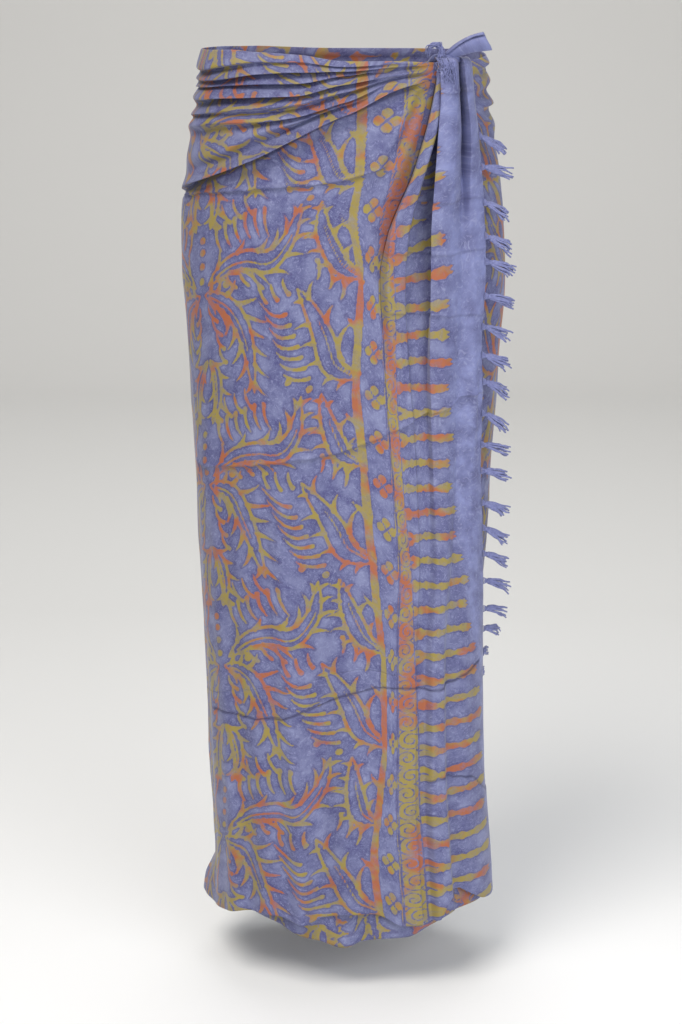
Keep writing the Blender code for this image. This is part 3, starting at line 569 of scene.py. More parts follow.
# Leaves: the points of a spine, half width, then for the left and for the right side how many
# spikes, their length, and how far they lean forward at the leaf's root and at its tip
LEAVES = (
    ("tall leaf", ((2, 3), (24, 12), (41, 52), (70, 106)), 13.0, (5, 28, 62, 40), (6, 18, 8, 30)),
    ("short leaf", ((2, 122), (20, 131), (31, 164), (38, 206)), 11.0, (4, 16, 50, 30), (7, 16, 5, 25)),
    ("long leaf", ((178, 108), (142, 133), (100, 143), (70, 172), (62, 208)), 11.0,
     (9, 22, 50, 20), (6, 24, 35, 60)),
    ("fern", ((185, 98), (156, 86), (136, 46), (120, -16)), 10.5, (8, 27, 35, 50), (9, 26, -15, 45)),
    ("root leaf", ((188, 22), (176, 2), (172, -26), (178, -52)), 6.0, (3, 14, 40, 40), (5, 19, 20, 40)),
)

# Combs of loose curved dashes: the first and the last dash's start, how a dash runs, its bow,
# its half thickness and how many there are
COMBS = (
    ((116, 94), (84, 14), (-31, -13), 4.0, 1.9, 7),
    ((160, 146), (98, 172), (9, 27), -3.0, 2.0, 6),
    ((176, 196), (134, 212), (-12, -22), 3.0, 1.8, 4),
    ((182, 84), (172, 36), (-10, -18), 3.0, 1.9, 4),
    ((150, 118), (118, 126), (-9, -13), 2.0, 1.9, 3),
    ((84, 122), (112, 116), (-4, -19), 2.0, 2.0, 3),
    ((22, 92), (46, 112), (-3, 22), 2.0, 1.9, 3),
)
DOTS = ((190, 114), (190, 131), (190, 147), (190, 161), (176, 178), (52, 214), (78, 4), (152, 108))
DOT_RADIUS = 4.2
STEM_RADIUS = 3.7
STEM_SWAY = 1.6
STEM_NODE_PITCH = TILE_HIGH / 2     # the stem swells where each pair of thorns leaves it

# Thorns of the stem: root, tip and bow
STEM_THORNS = (
    ((0, 60), (16, 74), 2),
    ((0, 172), (15, 188), -2),
    ((0, 172), (-14, 184), 2),
    ((0, 60), (-15, 76), 2),
)


def looked_up(at, places, rows):
    """Each column of rows, read at one place."""
    return np.array([np.interp(at, places, column) for column in rows.T])


def curve_points(start, end, bow, count):
    start = np.array(start, float)
    end = np.array(end, float)
    along = end - start
    side = np.array([-along[1], along[0]]) / np.hypot(*along)
    bend = (start + end) / 2 + side * bow * 2
    t = np.linspace(0, 1, count)[:, None]
    return start * (1 - t) ** 2 + bend * 2 * t * (1 - t) + end * t * t


def stroke(points, thickness):
    """Tapered segments along points: ends and their half thicknesses."""
    return [
        (*points[i], *points[i + 1], thickness[i], thickness[i + 1]) for i in range(len(points) - 1)
    ]


LEAF_POINTS = 25
RIB_SPAN = slice(2, 19)     # the points of a leaf that its rib runs past
RIB_THICKNESS = (1.5, 0.9)
SPIKE_TAPER = np.array([3.2, 2.6, 2.0, 1.3, 0.3])
THORN_TAPER = np.array([2.4, 2.4, 2.0, 1.2, 0.3])
DASH_TAPER = np.array([0.5, 0.8, 1.0, 1.0, 1.1, 1.5])


def leaf_strokes(points, half_width, *sides):
    """A hollow leaf with a rib, whose outline swells into curved spikes on both sides."""
    at = np.linspace(0, len(points) - 1, LEAF_POINTS)
    spine = through(at, np.arange(len(points)), points)
    way = np.gradient(spine, axis=0)
    way /= np.linalg.norm(way, axis=1)[:, None]
    side = np.stack([-way[:, 1], way[:, 0]], axis=1)
    t = np.linspace(0, 1, LEAF_POINTS)
    half = half_width * np.sin(math.pi * t ** 0.85) ** 0.75
    rib = (spine + side * (half * 0.22)[:, None])[RIB_SPAN]
    strokes = stroke(rib, np.linspace(*RIB_THICKNESS, len(rib)))
    for hand, (spikes, length, root_lean, tip_lean) in zip((1, -1), sides):
        edge = spine + side * (half * hand)[:, None]
        strokes += stroke(edge, 1.3 + 0.8 * np.sin(math.pi * t))
        for i in range(spikes):
            u = (i + 0.8) / (spikes + 0.3)
            k = u * (LEAF_POINTS - 1)
            root, ahead, out = (looked_up(k, np.arange(LEAF_POINTS), line) for line in (edge, way, side))
            reach = length * (0.6 + 0.4 * math.sin(math.pi * u)) * (0.84 + 0.11 * ((i * 5 + hand) % 4))
            angle = math.radians(root_lean + (tip_lean - root_lean) * u)
            tip = root + (out * hand * math.cos(angle) + ahead * math.sin(angle)) * reach
            thick = SPIKE_TAPER * (0.75 + length / 90)
            spike = curve_points(root, tip, -hand * reach * 0.09, len(thick))
            strokes += stroke(spike, thick)
    return strokes


def tile_strokes():
    strokes = []
    for name, *leaf in LEAVES:
        strokes += leaf_strokes(*leaf)
    for first, last, run, bow, thick, count in COMBS:
        for share in np.linspace(0, 1, count):
            start = np.array(first) + (np.array(last) - first) * share
            points = curve_points(start, start + run, bow, len(DASH_TAPER))
            strokes += stroke(points, thick * DASH_TAPER)
    for x, y in DOTS:
        strokes.append((x, y, x + 0.5, y, DOT_RADIUS, DOT_RADIUS))
    heights = np.linspace(0, TILE_HIGH, 31)
    sway = STEM_SWAY * np.sin(heights / STEM_NODE_PITCH * 2 * math.pi)
    swell = 1 + 0.55 * np.exp(-((heights % STEM_NODE_PITCH - 60) / 9) ** 2)
    strokes += stroke(np.stack([sway, heights], axis=1), STEM_RADIUS * swell)
    for root, tip, bow in STEM_THORNS:
        strokes += stroke(curve_points(root, tip, bow, len(THORN_TAPER)), THORN_TAPER)
    return strokes


def leaf_tile():
    """Signed distance to the nearest motif over one tile, negative inside a motif."""
    xs = np.arange(0, TILE_WIDE + TILE_STEP, TILE_STEP)
    ys = np.arange(0, TILE_HIGH, TILE_STEP)
    tile = np.full((len(xs), len(ys)), FAR)
    copies = []
    mirrors = ((0, 1), (0, -1), (2 * TILE_WIDE, -1))
    for x0, y0, x1, y1, r0, r1 in tile_strokes():
        for up in (-TILE_HIGH, 0, TILE_HIGH):
            for shift, hand in mirrors:
                copies.append((shift + hand * x0, y0 + up, shift + hand * x1, y1 + up, r0, r1))
    for x0, y0, x1, y1, r0, r1 in copies:
        reach = FAR + max(r0, r1)
        i0, i1 = np.searchsorted(xs, (min(x0, x1) - reach, max(x0, x1) + reach))
        j0, j1 = np.searchsorted(ys, (min(y0, y1) - reach, max(y0, y1) + reach))
        if i0 == i1 or j0 == j1:
            continue
        dx = xs[i0:i1, None] - x0
        dy = ys[None, j0:j1] - y0
        ex = x1 - x0
        ey = y1 - y0
        t = np.clip((dx * ex + dy * ey) / max(ex * ex + ey * ey, 1e-6), 0, 1)
        distance = np.hypot(dx - t * ex, dy - t * ey) - (r0 + (r1 - r0) * t)
        tile[i0:i1, j0:j1] = np.minimum(tile[i0:i1, j0:j1], distance)
    return tile


LEAF_TILE = leaf_tile()

PLAIN_BAND = 47.0           # plain cloth along the fringe
BARS_END = 135.0
SCROLL_END = 157.0
FLOWER_ACROSS = 173.5
BAR_PITCH = 30.0
FLOWER_PITCH = 53.0
SCROLL_PITCH = 23.0
PETAL_OUT = 8.0
PETAL_RADIUS = 6.0
FORK_START = 116.0          # from here the bars part into two prongs
FORK_LENGTH = 16.0
PRONG_OUT = 4.6
BAR_HALF = 4.1
COIL_PITCH = 6.5            # between the turns of a scroll's spiral
PALE_LINE = 0.75            # half the width of the line left pale in a scroll


def leaf_gap(across, up):
    x = ((across - STEM_ACROSS) / TILE_SPREAD + TILE_WIDE) % (2 * TILE_WIDE)
    x = np.abs(x - TILE_WIDE)
    gx = np.clip(x / TILE_STEP, 0, LEAF_TILE.shape[0] - 1.001)
    rows = LEAF_TILE.shape[1]
    gy = (up % TILE_HIGH) / TILE_HIGH * rows
    i = gx.astype(int)
    j = gy.astype(int) % rows
    fx = gx - i
    fy = gy - np.floor(gy)
    after = (j + 1) % rows
    low = LEAF_TILE[i, j] * (1 - fx) + LEAF_TILE[i + 1, j] * fx
    high = LEAF_TILE[i, after] * (1 - fx) + LEAF_TILE[i + 1, after] * fx
    return low * (1 - fy) + high * fy


def print_gap(across, up):
    """Signed distance in millimetres to the nearest printed motif, negative inside one."""
    gap = np.where(across > STEM_ACROSS - 7, leaf_gap(across, up), FAR)
    # Bars with knobbly sides, fists of short fingers at one end and a fork at the other
    number = np.floor(up / BAR_PITCH)
    off = np.abs(up - (number + 0.5) * BAR_PITCH - 0.9 * np.sin(across / 15 + number * 1.7))
    fork = eased((across - FORK_START) / FORK_LENGTH) * (0.8 + 0.4 * np.sin(number * 1.3))
    tip = PLAIN_BAND + 4 * np.sin(number * 2.1) + 2.5 * np.cos(off * 2 * math.pi / 5)
    half = BAR_HALF + 0.9 * np.sin(across / 3.4 + number * 2.3) + 0.6 * np.sin(across / 1.6 + number)
    half = half + 1.6 * np.exp(-((across - tip - 8) / 5) ** 2)
    bar = np.maximum(np.abs(off - PRONG_OUT * fork) - half * (1 - 0.1 * fork), tip - across)
    gap = np.minimum(gap, np.maximum(bar, across - BARS_END))
    # The filled scroll band with its thin spirals left pale
    v = up % SCROLL_PITCH - SCROLL_PITCH / 2
    hand = np.where(np.floor(up / SCROLL_PITCH) % 2 == 0, 1, -1)
    u = (across - (BARS_END + SCROLL_END) / 2) * hand + 2.0
    coil = (np.hypot(u, v) / COIL_PITCH - np.arctan2(v, u) / (2 * math.pi)) % 1.0
    line = (0.5 - np.abs(coil - 0.5)) * COIL_PITCH
    band = np.abs(across - (BARS_END + SCROLL_END) / 2) - (SCROLL_END - BARS_END) / 2 + 1.5
    scroll = np.maximum(band, PALE_LINE - line)
    gap = np.minimum(gap, scroll)
    gap = np.minimum(gap, np.abs(across - SCROLL_END - 1.2 - 0.8 * np.sin(up / 8)) - 0.9)
    # Small flowers of four petals that stand apart
    fu = across - FLOWER_ACROSS
    fv = up % FLOWER_PITCH - FLOWER_PITCH / 2
    flower = np.full(gap.shape, FAR)
    for cu, cv in ((1, 0), (0, 1), (-1, 0), (0, -1)):
        flower = np.minimum(flower, np.hypot(fu - PETAL_OUT * cu, fv - PETAL_OUT * cv) - PETAL_RADIUS)
    parting = 1.3 - np.abs(np.abs(fu) - np.abs(fv)) / math.sqrt(2)
    gap = np.minimum(gap, np.maximum(flower, parting))
    return np.clip(gap, -FAR, FAR)


# Materials

# Colours of the print
YELLOW = "#8f7f3c"
ORANGE = "#9d5837"
BAND_BLUE = "#7c83b2"       # the plain band along the fringe
GROUND_BLUE = "#757a9f"
CLOUD_BLUE = "#575a84"
STREAK_BLUE = "#8c90b4"
SPECK_BLUE = "#35346c"
OUTLINE_BLUE = "#45406e"
# Colour of the shade painted along the creases
PAINTED_CREASE_SHADE = "#232145"
DYE_START = 36.0            # millimetres from the fringed edge where the clouds begin to show
DYE_FULL = 60.0
CRACKLE_SIZE = 6.0
MARK_STRENGTH = 0.9
RAYON_IOR = 1.47
BUMP_STRENGTH = 0.5
MIX_FIRST = 6               # places of the colour sockets on a Mix node
MIX_SECOND = 7
MIX_RESULT = 2


def from_hex(code):
    """sRGB hex to the linear colour that the shader takes."""
    parts = [int(code[i:i + 2], 16) / 255 for i in (1, 3, 5)]
    linear = [c / 12.92 if c <= 0.04045 else ((c + 0.055) / 1.055) ** 2.4 for c in parts]
    return (*linear, 1.0)


def add_node(tree, kind, inputs=None, **settings):
    """Adds a node. Each input is a plain value or the output socket that feeds it."""
    item = tree.nodes.new(kind)
    for name, value in settings.items():
        setattr(item, name, value)
    for name, value in (inputs or {}).items():
        if isinstance(value, bpy.types.NodeSocket):
            tree.links.new(value, item.inputs[name])
        else:
            item.inputs[name].default_value = value
    return item


def new_material(name):
    material = bpy.data.materials.new(name)
    material.use_nodes = True
    return material, material.node_tree, material.node_tree.nodes["Principled BSDF"]


def set_shader(tree, shader, colour, normal=None, **values):
    """Feeds the shader. Its plain values are named as on the node, with _ for a space."""
    tree.links.new(colour, shader.inputs["Base Color"])
    if normal is not None:
        tree.links.new(normal, shader.inputs["Normal"])
    for name, value in values.items():
        shader.inputs[name.replace("_", " ")].default_value = value


def noise(tree, vector, size, **settings):
    """Noise with features of the given size in millimetres, on places in metres."""
    inputs = {"Vector": vector, "Scale": 1 / (size * MM), **settings}
    return add_node(tree, "ShaderNodeTexNoise", inputs).outputs["Fac"]


def remap(tree, value, from_low, from_high, to_low=0.0, to_high=1.0):
    """A value carried from one range to another and held at its ends."""
    return add_node(tree, "ShaderNodeMapRange", {
        "Value": value, "From Min": from_low, "From Max": from_high,
        "To Min": to_low, "To Max": to_high,
    }).outputs["Result"]


def maths(tree, operation, *values):
    """One step of arithmetic on plain values or output sockets."""
    return add_node(tree, "ShaderNodeMath", dict(enumerate(values)), operation=operation).outputs[0]


def mixed(tree, factor, *colours):
    """One colour turning into another. Each is a hex code or an output socket."""
    first, second = (from_hex(colour) if isinstance(colour, str) else colour for colour in colours)
    inputs = {"Factor": factor, MIX_FIRST: first, MIX_SECOND: second}
    return add_node(tree, "ShaderNodeMix", inputs, data_type="RGBA").outputs[MIX_RESULT]


def bump(tree, height, millimetres, **under):
    """A normal bent by a height. Another normal may lie under it."""
    inputs = {"Height": height, "Distance": millimetres * MM, "Strength": BUMP_STRENGTH, **under}
    return add_node(tree, "ShaderNodeBump", inputs).outputs["Normal"]


def printed_rayon():
    """Batik-printed rayon crepe, woven: soft even colour with a faint silky sheen, wax-like
    ragged edges on the motifs and fine dark crackle in the ground."""
    material, tree, shader = new_material("printed rayon")
    cloth = add_node(tree, "ShaderNodeAttribute", attribute_name="cloth_place").outputs["Vector"]
    gap = add_node(tree, "ShaderNodeAttribute", attribute_name="print_gap").outputs["Fac"]
    # crease holds the painted shade along the packing creases
    crease = add_node(tree, "ShaderNodeAttribute", attribute_name="crease").outputs["Fac"]

    # Motifs have ragged edges, and their paint is thin in places
    shift = remap(tree, noise(tree, cloth, 3.5, Detail=2.0), 0.25, 0.75, -0.5, 0.5)
    worn_gap = maths(tree, "ADD", gap, shift)
    thinned = noise(tree, cloth, 15, Detail=5.0, Roughness=0.7, Distortion=0.8)
    paint = remap(tree, thinned, 0.36, 0.56, 0.62, 1.0)
    motif = remap(tree, worn_gap, 0.3, -0.3, 0.0, paint)

    # Thin dark line round each motif
    far = maths(tree, "ABSOLUTE", maths(tree, "SUBTRACT", worn_gap, 1.0))
    outline = remap(tree, far, 0.2, 1.4, 0.55, 0.0)

    # Yellow drifts into orange from one part of the print to the next
    orange = remap(tree, noise(tree, cloth, 60, Detail=3.0, Roughness=0.6), 0.47, 0.58)
    warm = mixed(tree, orange, YELLOW, ORANGE)

    # The ground is dyed evenly in the plain band, and in dark clouds and pale streaks elsewhere
    across = add_node(tree, "ShaderNodeSeparateXYZ", {"Vector": cloth}).outputs["X"]
    dyed = remap(tree, across, DYE_START * MM, DYE_FULL * MM, 0.12, 1.0)
    clouds = remap(tree, noise(tree, cloth, 26, Detail=5.0, Roughness=0.6), 0.34, 0.64)
    drawn = noise(tree, cloth, 9, Detail=4.0, Roughness=0.65, Distortion=2.5)
    streaks = remap(tree, drawn, 0.53, 0.64, 0.0, 0.55)
    wash = mixed(tree, clouds, mixed(tree, dyed, BAND_BLUE, GROUND_BLUE), CLOUD_BLUE)
    pale = mixed(tree, streaks, wash, STREAK_BLUE)

    # Dark specks and crackle lie in the clouds, most of all near a motif
    specks = noise(tree, cloth, 3, Detail=4.0, Roughness=0.75, Distortion=1.2)
    crackle = add_node(tree, "ShaderNodeTexVoronoi", {
        "Vector": cloth, "Scale": 1 / (CRACKLE_SIZE * MM)}, feature="DISTANCE_TO_EDGE")
    veins = remap(tree, crackle.outputs["Distance"], 0.0, 0.08, 0.8, 0.0)
    marks = maths(tree, "MAXIMUM", remap(tree, specks, 0.495, 0.575), veins)
    for share in (clouds, remap(tree, gap, 1.0, 11.0, 1.0, 0.4), dyed, MARK_STRENGTH):
        marks = maths(tree, "MULTIPLY", marks, share)

    ground = mixed(tree, marks, pale, SPECK_BLUE)
    printed = mixed(tree, motif, mixed(tree, outline, ground, OUTLINE_BLUE), warm)
    # Painted shade: the dark lines under the creases are mixed into the colour
    colour = mixed(tree, crease, printed, PAINTED_CREASE_SHADE)

    # Crepe weave: threads are about 0.4 mm apart, drawn at 1.6 mm so that they show
    rumple = bump(tree, noise(tree, cloth, 12, Detail=3.0), 0.9)
    weave = bump(tree, noise(tree, cloth, 1.6, Detail=2.0), 0.2, Normal=rumple)
    set_shader(tree, shader, colour, weave, Roughness=0.62, IOR=RAYON_IOR,
               Sheen_Weight=0.18, Sheen_Roughness=0.45)
    return material


def rayon_thread():
    """Twisted rayon thread of the fringe: pale lavender, silky, with painted shade that darkens
    the hollows between the twists."""
    material, tree, shader = new_material("rayon thread")
    spot = add_node(tree, "ShaderNodeTexCoord").outputs["Object"]
    twist = noise(tree, spot, 3, Detail=2.0)
    # Painted shade: the colour darkens where the same noise makes the bump low, in the hollows
    colour = mixed(tree, twist, "#4f5587", "#868bb8")
    set_shader(tree, shader, colour, bump(tree, twist, 0.3), Roughness=0.5, IOR=RAYON_IOR, Sheen_Weight=0.2)
    return material


def studio_paper(name):
    """Matt seamless studio paper: white under the sarong, with painted shade that greys it further back."""
    material, tree, shader = new_material(name)
    spot = add_node(tree, "ShaderNodeTexCoord").outputs["Object"]
    back = add_node(tree, "ShaderNodeSeparateXYZ", {"Vector": spot}).outputs["Y"]
    # Painted shade: the paper darkens with distance back, first over the floor and then up the backdrop
    near = mixed(tree, remap(tree, back, -0.3, 1.4), "#f2f3f3", "#d6d6d4")
    colour = mixed(tree, remap(tree, back, 1.4, 4.0), near, "#cdccc9")
    set_shader(tree, shader, colour, Roughness=0.9)
    return material


RAYON = printed_rayon()
THREAD = rayon_thread()


# Meshes

def new_piece(name, vertices, faces, material, stands_for, flat_faces=0):
    """A piece of the dressed part. The last faces may be left flat, so that a cut edge is crisp."""
    mesh = bpy.data.meshes.new(name)
    mesh.from_pydata(vertices, [], faces)
    mesh.materials.append(material)
    smooth = np.arange(len(faces)) < len(faces) - flat_faces
    mesh.polygons.foreach_set("use_smooth", smooth)
    item = bpy.data.objects.new(name, mesh)
    bpy.context.scene.collection.objects.link(item)
    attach(item, "root")
    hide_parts(*stands_for)
    return item


def outward(points):
    """Unit normals of a grid of points, facing away from the body's axis."""
    down = np.gradient(points, axis=0)
    along = np.gradient(points, axis=1)
    normal = np.cross(down, along)
    normal /= np.maximum(np.linalg.norm(normal, axis=-1), 1e-9)[..., None]
    out = points * (1, 1, 0)
    if (normal * out).sum() < 0:
        normal = -normal
    return normal


def shell_mesh(points, thickness):
    """A thin closed cloth on a grid of points: fine outside, coarser inside. Its rim's faces
    come last and their number is given too."""
    rows, columns = points.shape[:2]
    inner = (points - outward(points) * thickness)[::INSIDE_STEP, ::INSIDE_STEP]
    inner_rows, inner_columns = inner.shape[:2]
    vertices = np.vstack([points.reshape(-1, 3), inner.reshape(-1, 3)]) * MM
    r, c = np.meshgrid(np.arange(rows - 1), np.arange(columns - 1), indexing="ij")
    a = (r * columns + c).ravel()
    faces = np.stack([a, a + 1, a + columns + 1, a + columns], axis=1)
    edge_a = points[1, 0] - points[0, 0]
    edge_b = points[0, 1] - points[0, 0]
    facing = np.cross(edge_b, edge_a)
    flip = (facing * outward(points)[0, 0]).sum() < 0
    count = rows * columns
    r, c = np.meshgrid(np.arange(inner_rows - 1), np.arange(inner_columns - 1), indexing="ij")
    b = (count + r * inner_columns + c).ravel()
    backs = np.stack([b + inner_columns, b + inner_columns + 1, b + 1, b], axis=1)
    rim = [(0, k) for k in range(columns - 1)]
    rim += [(k, columns - 1) for k in range(rows - 1)]
    rim += [(rows - 1, k) for k in range(columns - 1, 0, -1)]
    rim += [(k, 0) for k in range(rows - 1, 0, -1)]
    loop = len(rim)
    rims = []
    for k in range(0, loop, INSIDE_STEP):
        steps = [rim[(k + i) % loop] for i in range(INSIDE_STEP + 1)]
        (r0, c0), (r1, c1) = steps[0], steps[-1]
        start = count + r0 // INSIDE_STEP * inner_columns + c0 // INSIDE_STEP
        end = count + r1 // INSIDE_STEP * inner_columns + c1 // INSIDE_STEP
        rims.append([r0 * columns + c0, start, end] + [r * columns + c for r, c in steps[:0:-1]])
    every = faces.tolist() + backs.tolist() + rims
    if flip:
        every = [face[::-1] for face in every]
    return vertices, every, len(rims)


def add_values(item, name, values):
    """A value at each vertex of a shell, for its outside and its inside."""
    inside = values[::INSIDE_STEP, ::INSIDE_STEP]
    data = np.concatenate([side.reshape(-1, *values.shape[2:]) for side in (values, inside)])
    if data.ndim == 1:
        layer = item.data.attributes.new(name, "FLOAT", "POINT")
        layer.data.foreach_set("value", data.astype(np.float32))
    else:
        layer = item.data.attributes.new(name, "FLOAT_VECTOR", "POINT")
        layer.data.foreach_set("vector", data.astype(np.float32).ravel())


def cloth_piece(name, points, across, up, gap, crease, stands_for):
    """A stretch of cloth, with its places in the print and the distance to a motif stored on it."""
    vertices, faces, rims = shell_mesh(points, CLOTH_THICKNESS)
    item = new_piece(name, vertices, faces, RAYON, stands_for, rims)
    cloth = np.stack([across, up, 0 * up], axis=-1) * MM
    add_values(item, "print_gap", gap)
    add_values(item, "cloth_place", cloth)
    add_values(item, "crease", crease)


def run_up(points):
    """Millimetres up each column from the bottom row."""
    steps = np.linalg.norm(np.diff(points, axis=0), axis=-1)
    return np.vstack([np.cumsum(steps[::-1], axis=0)[::-1], np.zeros(points.shape[1])])


def run_across(points):
    """Millimetres along each row from the first column."""
    steps = np.linalg.norm(np.diff(points, axis=1), axis=-1)
    return np.hstack([np.zeros((points.shape[0], 1)), np.cumsum(steps, axis=1)])


def plain_run(turn, height):
    """Millimetres along each row of the plain tube, which leaves out the folds."""
    return run_across(place(turn, height, 0 * turn))


# The cloth, from the fringed end round to the start under the front

FRONT_COLUMNS = 237
BACK_COLUMNS = 117
FALL_COLUMNS = 133
INNER_COLUMNS = 121
GATHER_SPACING = 1.7        # millimetres between rows
SKIRT_SPACING = 2.0
FALL_SPACING = 1.8
BACK_SPACING = 2.9
INNER_SPACING = 4.4
SHIN_SPLIT_HEIGHT = -741.0  # the front's long part is cut in two here, in a packing crease
EVEN_PRINT_HEIGHTS = (-480, -680)   # between these the falls' print evens out over their width
RELIEF_BLEND = 8.0          # degrees over which the small relief comes up from a seam
FALL_SEAM_BLEND = 6.0
FALL_WAVES = 0.7            # share of the small folds that the falls have
INNER_WAVES = 0.6
SIDE_MEETING_TURN = 186.0   # from here to the side seam the front takes up the back's folds
FALL_SLANT = 0.35           # the bars rise towards the fringe where the falls leave the knot


def side_profile():
    """Lift of the back's folds at the side seam, against height, for the front to meet."""
    turn, height, lift = fine_rows(back_lines(SIDE_SEAM_TURN, SIDE_SEAM_TURN + 2, 3), 3.0)
    return height[::-1, 0], lift[::-1, 0]


def front_print(turn, height):
    """Millimetres across the print: the seam and the stem lie where the photograph has them."""
    across = plain_run(turn, height)
    seam = through(height[:, 0], FALL_HEIGHTS, SEAM_ACROSS)
    stem = through(height[:, 0], STEM_HEIGHTS, STEM_TURNS)
    for row in range(len(turn)):
        at_stem = np.interp(stem[row], turn[row], across[row])
        before = seam[row] + (STEM_ACROSS - seam[row]) * across[row] / at_stem
        across[row] = np.where(across[row] < at_stem, before, STEM_ACROSS + across[row] - at_stem)
    return across


def fall_print(turn, height):
    """Millimetres across the print of the falls, from the fringed edge to the seam."""
    from_seam = plain_run(turn, height)
    raw = from_seam[:, -1:] - from_seam
    whole = raw[:, :1]
    edge = LEFT_FALL_EDGE * (FALL_COLUMNS - 1) // (len(FALLS) - 1)
    at_edge = raw[:, edge:edge + 1]
    seam = through(height[:, :1], FALL_HEIGHTS, SEAM_ACROSS)
    printed = np.minimum(at_edge, through(height[:, :1], FALL_HEIGHTS, LEFT_EDGE_ACROSS))
    stretched = printed + (raw - at_edge) * (seam - printed) / (whole - at_edge)
    folded = np.where(raw > at_edge, stretched, raw * printed / at_edge)
    even = between(height, *EVEN_PRINT_HEIGHTS)
    return folded * (1 - even) + raw * seam / whole * even


def dress_front():
    lines = front_lines(FRONT_COLUMNS)
    fold = len(GATHERS) - 2
    upper = fine_rows(lines, GATHER_SPACING, 0, fold)
    lower = fine_rows(lines, SKIRT_SPACING, fold)
    seam_heights, seam_lifts = side_profile()
    stretches = []
    for turn, height, lift in (upper, lower):
        meet = between(turn, SIDE_MEETING_TURN, SIDE_SEAM_TURN)
        lift = lift * (1 - meet) + np.interp(height, seam_heights, seam_lifts) * meet
        bumps, dark = crease_relief(turn, height)
        clear = eased((turn - seam_turn(height)) / RELIEF_BLEND)
        lift = lift + (bumps + small_folds(turn, height)) * clear
        stretches.append((turn, height, lift, dark))
    turn, height, lift, dark = (np.vstack([a, b[1:]]) for a, b in zip(*stretches))
    points = place(turn, sagged(turn, height, lift), lift)
    across = front_print(turn, height)
    up = run_up(points)
    gap = print_gap(across, up)
    fold_row = len(upper[0]) - 1
    below = int((height.mean(axis=1) > SHIN_SPLIT_HEIGHT).sum()) - fold_row
    shin_row = fold_row + below // INSIDE_STEP * INSIDE_STEP
    rows = (0, fold_row, shin_row, len(turn) - 1)
    names = (("front_gathers", "gathered"), ("front_skirt", "draped"), ("front_hem", "draped"))
    for (name, held), first, last in zip(names, rows, rows[1:]):
        stretch = slice(first, last + 1)
        cloth_piece(name, points[stretch], across[stretch], up[stretch], gap[stretch], dark[stretch],
                    ["front_panel"])
    return across[::-1, -1], height[::-1, -1]


def dress_fall():
    turn, height, lift = fine_rows(fall_lines(FALL_COLUMNS), FALL_SPACING)
    bumps, dark = crease_relief(turn, height)
    clear = eased((seam_turn(height) - turn) / FALL_SEAM_BLEND)
    lift = lift + (bumps + small_folds(turn, height) * FALL_WAVES) * clear
    # The heads of the falls bend back into the knot
    head = []
    for angle in np.radians(np.linspace(HEAD_BEND, 0, HEAD_STEPS, endpoint=False)):
        head.append((
            turn[0],
            height[0] + HEAD_ROUNDING * math.sin(angle),
            lift[0] - HEAD_ROUNDING * (1 - math.cos(angle)),
            0 * turn[0],
        ))
    turn, height, lift, dark = (
        np.vstack(both) for both in zip(stacked(head), (turn, height, lift, dark)))
    points = place(turn, height, lift)
    across = fall_print(turn, height)
    slant = FALL_SLANT * eased((height + 330) / 200) * (across - SEAM_ACROSS[0])
    up = height - height[-1, 0] + slant
    cloth_piece("fringed_fall", points, across, up, print_gap(across, up), dark,
                ["border_fall"])
    return points


def dress_back(name, node, first, last, seam_across, seam_heights):
    """A stretch of the back. It gives the print's places along its far side, for the next one."""
    turn, height, lift = fine_rows(back_lines(first, last, BACK_COLUMNS), BACK_SPACING)
    bumps, dark = crease_relief(turn, height)
    clear = eased((turn - first) / RELIEF_BLEND) * eased((last - turn) / RELIEF_BLEND)
    lift = lift + bumps * clear + small_folds(turn, height) * clear
    points = place(turn, sagged(turn, height, lift), lift)
    across = plain_run(turn, height) + np.interp(height[:, :1], seam_heights, seam_across)
    up = run_up(points)
    cloth_piece(name, points, across, up, print_gap(across, up), dark, [node])
    return across[::-1, -1], height[::-1, -1]


def dress_inner(seam_across):
    turn, height, lift = fine_rows(inner_lines(INNER_COLUMNS), INNER_SPACING)
    clear = between(turn, UNDER_SEAM_TURN, UNDER_SEAM_TURN + 10)
    lift = lift + small_folds(turn + 40, height) * INNER_WAVES * clear
    points = place(turn, height, lift)
    across = plain_run(turn, height) + seam_across.mean()
    up = run_up(points)
    cloth_piece("inner_layer", points, across, up, print_gap(across, up), 0 * turn,
                ["inner_front"])


# Tubes for the knot and its threads

def frame_along(points):
    """Unit ways along a path, to its side and up from it, seen from outside the body."""
    way = np.gradient(points, axis=0)
    way /= np.linalg.norm(way, axis=1)[:, None]
    side = np.cross(way, points * (1, 1, 0))
    side /= np.maximum(np.linalg.norm(side, axis=1), TINY)[:, None]
    return way, side, np.cross(side, way)


def swept(centre, side, up, across, deep):
    """A grid of points round a path: a row for each of its places."""
    return centre[:, None] + side[:, None] * across[..., None] + up[:, None] * deep[..., None]


def ring_faces(rings, sides):
    """Faces between rings of points, with both ends closed."""
    faces = []
    for start in range(0, (rings - 1) * sides, sides):
        for i in range(sides):
            j = (i + 1) % sides
            faces.append([start + i, start + j, start + sides + j, start + sides + i])
    faces.append(list(range(sides))[::-1])
    faces.append(list(range((rings - 1) * sides, rings * sides)))
    return faces


def tube(points, radii, sides):
    """Rings along a path in millimetres, closed at both ends."""
    points = np.asarray(points, float)
    radii = np.asarray(radii, float)[:, None]
    way, side, up = frame_along(points)
    angle = np.arange(sides) / sides * 2 * math.pi
    grid = swept(points, side, up, np.cos(angle) * radii, np.sin(angle) * radii)
    return grid.reshape(-1, 3), ring_faces(len(points), sides)


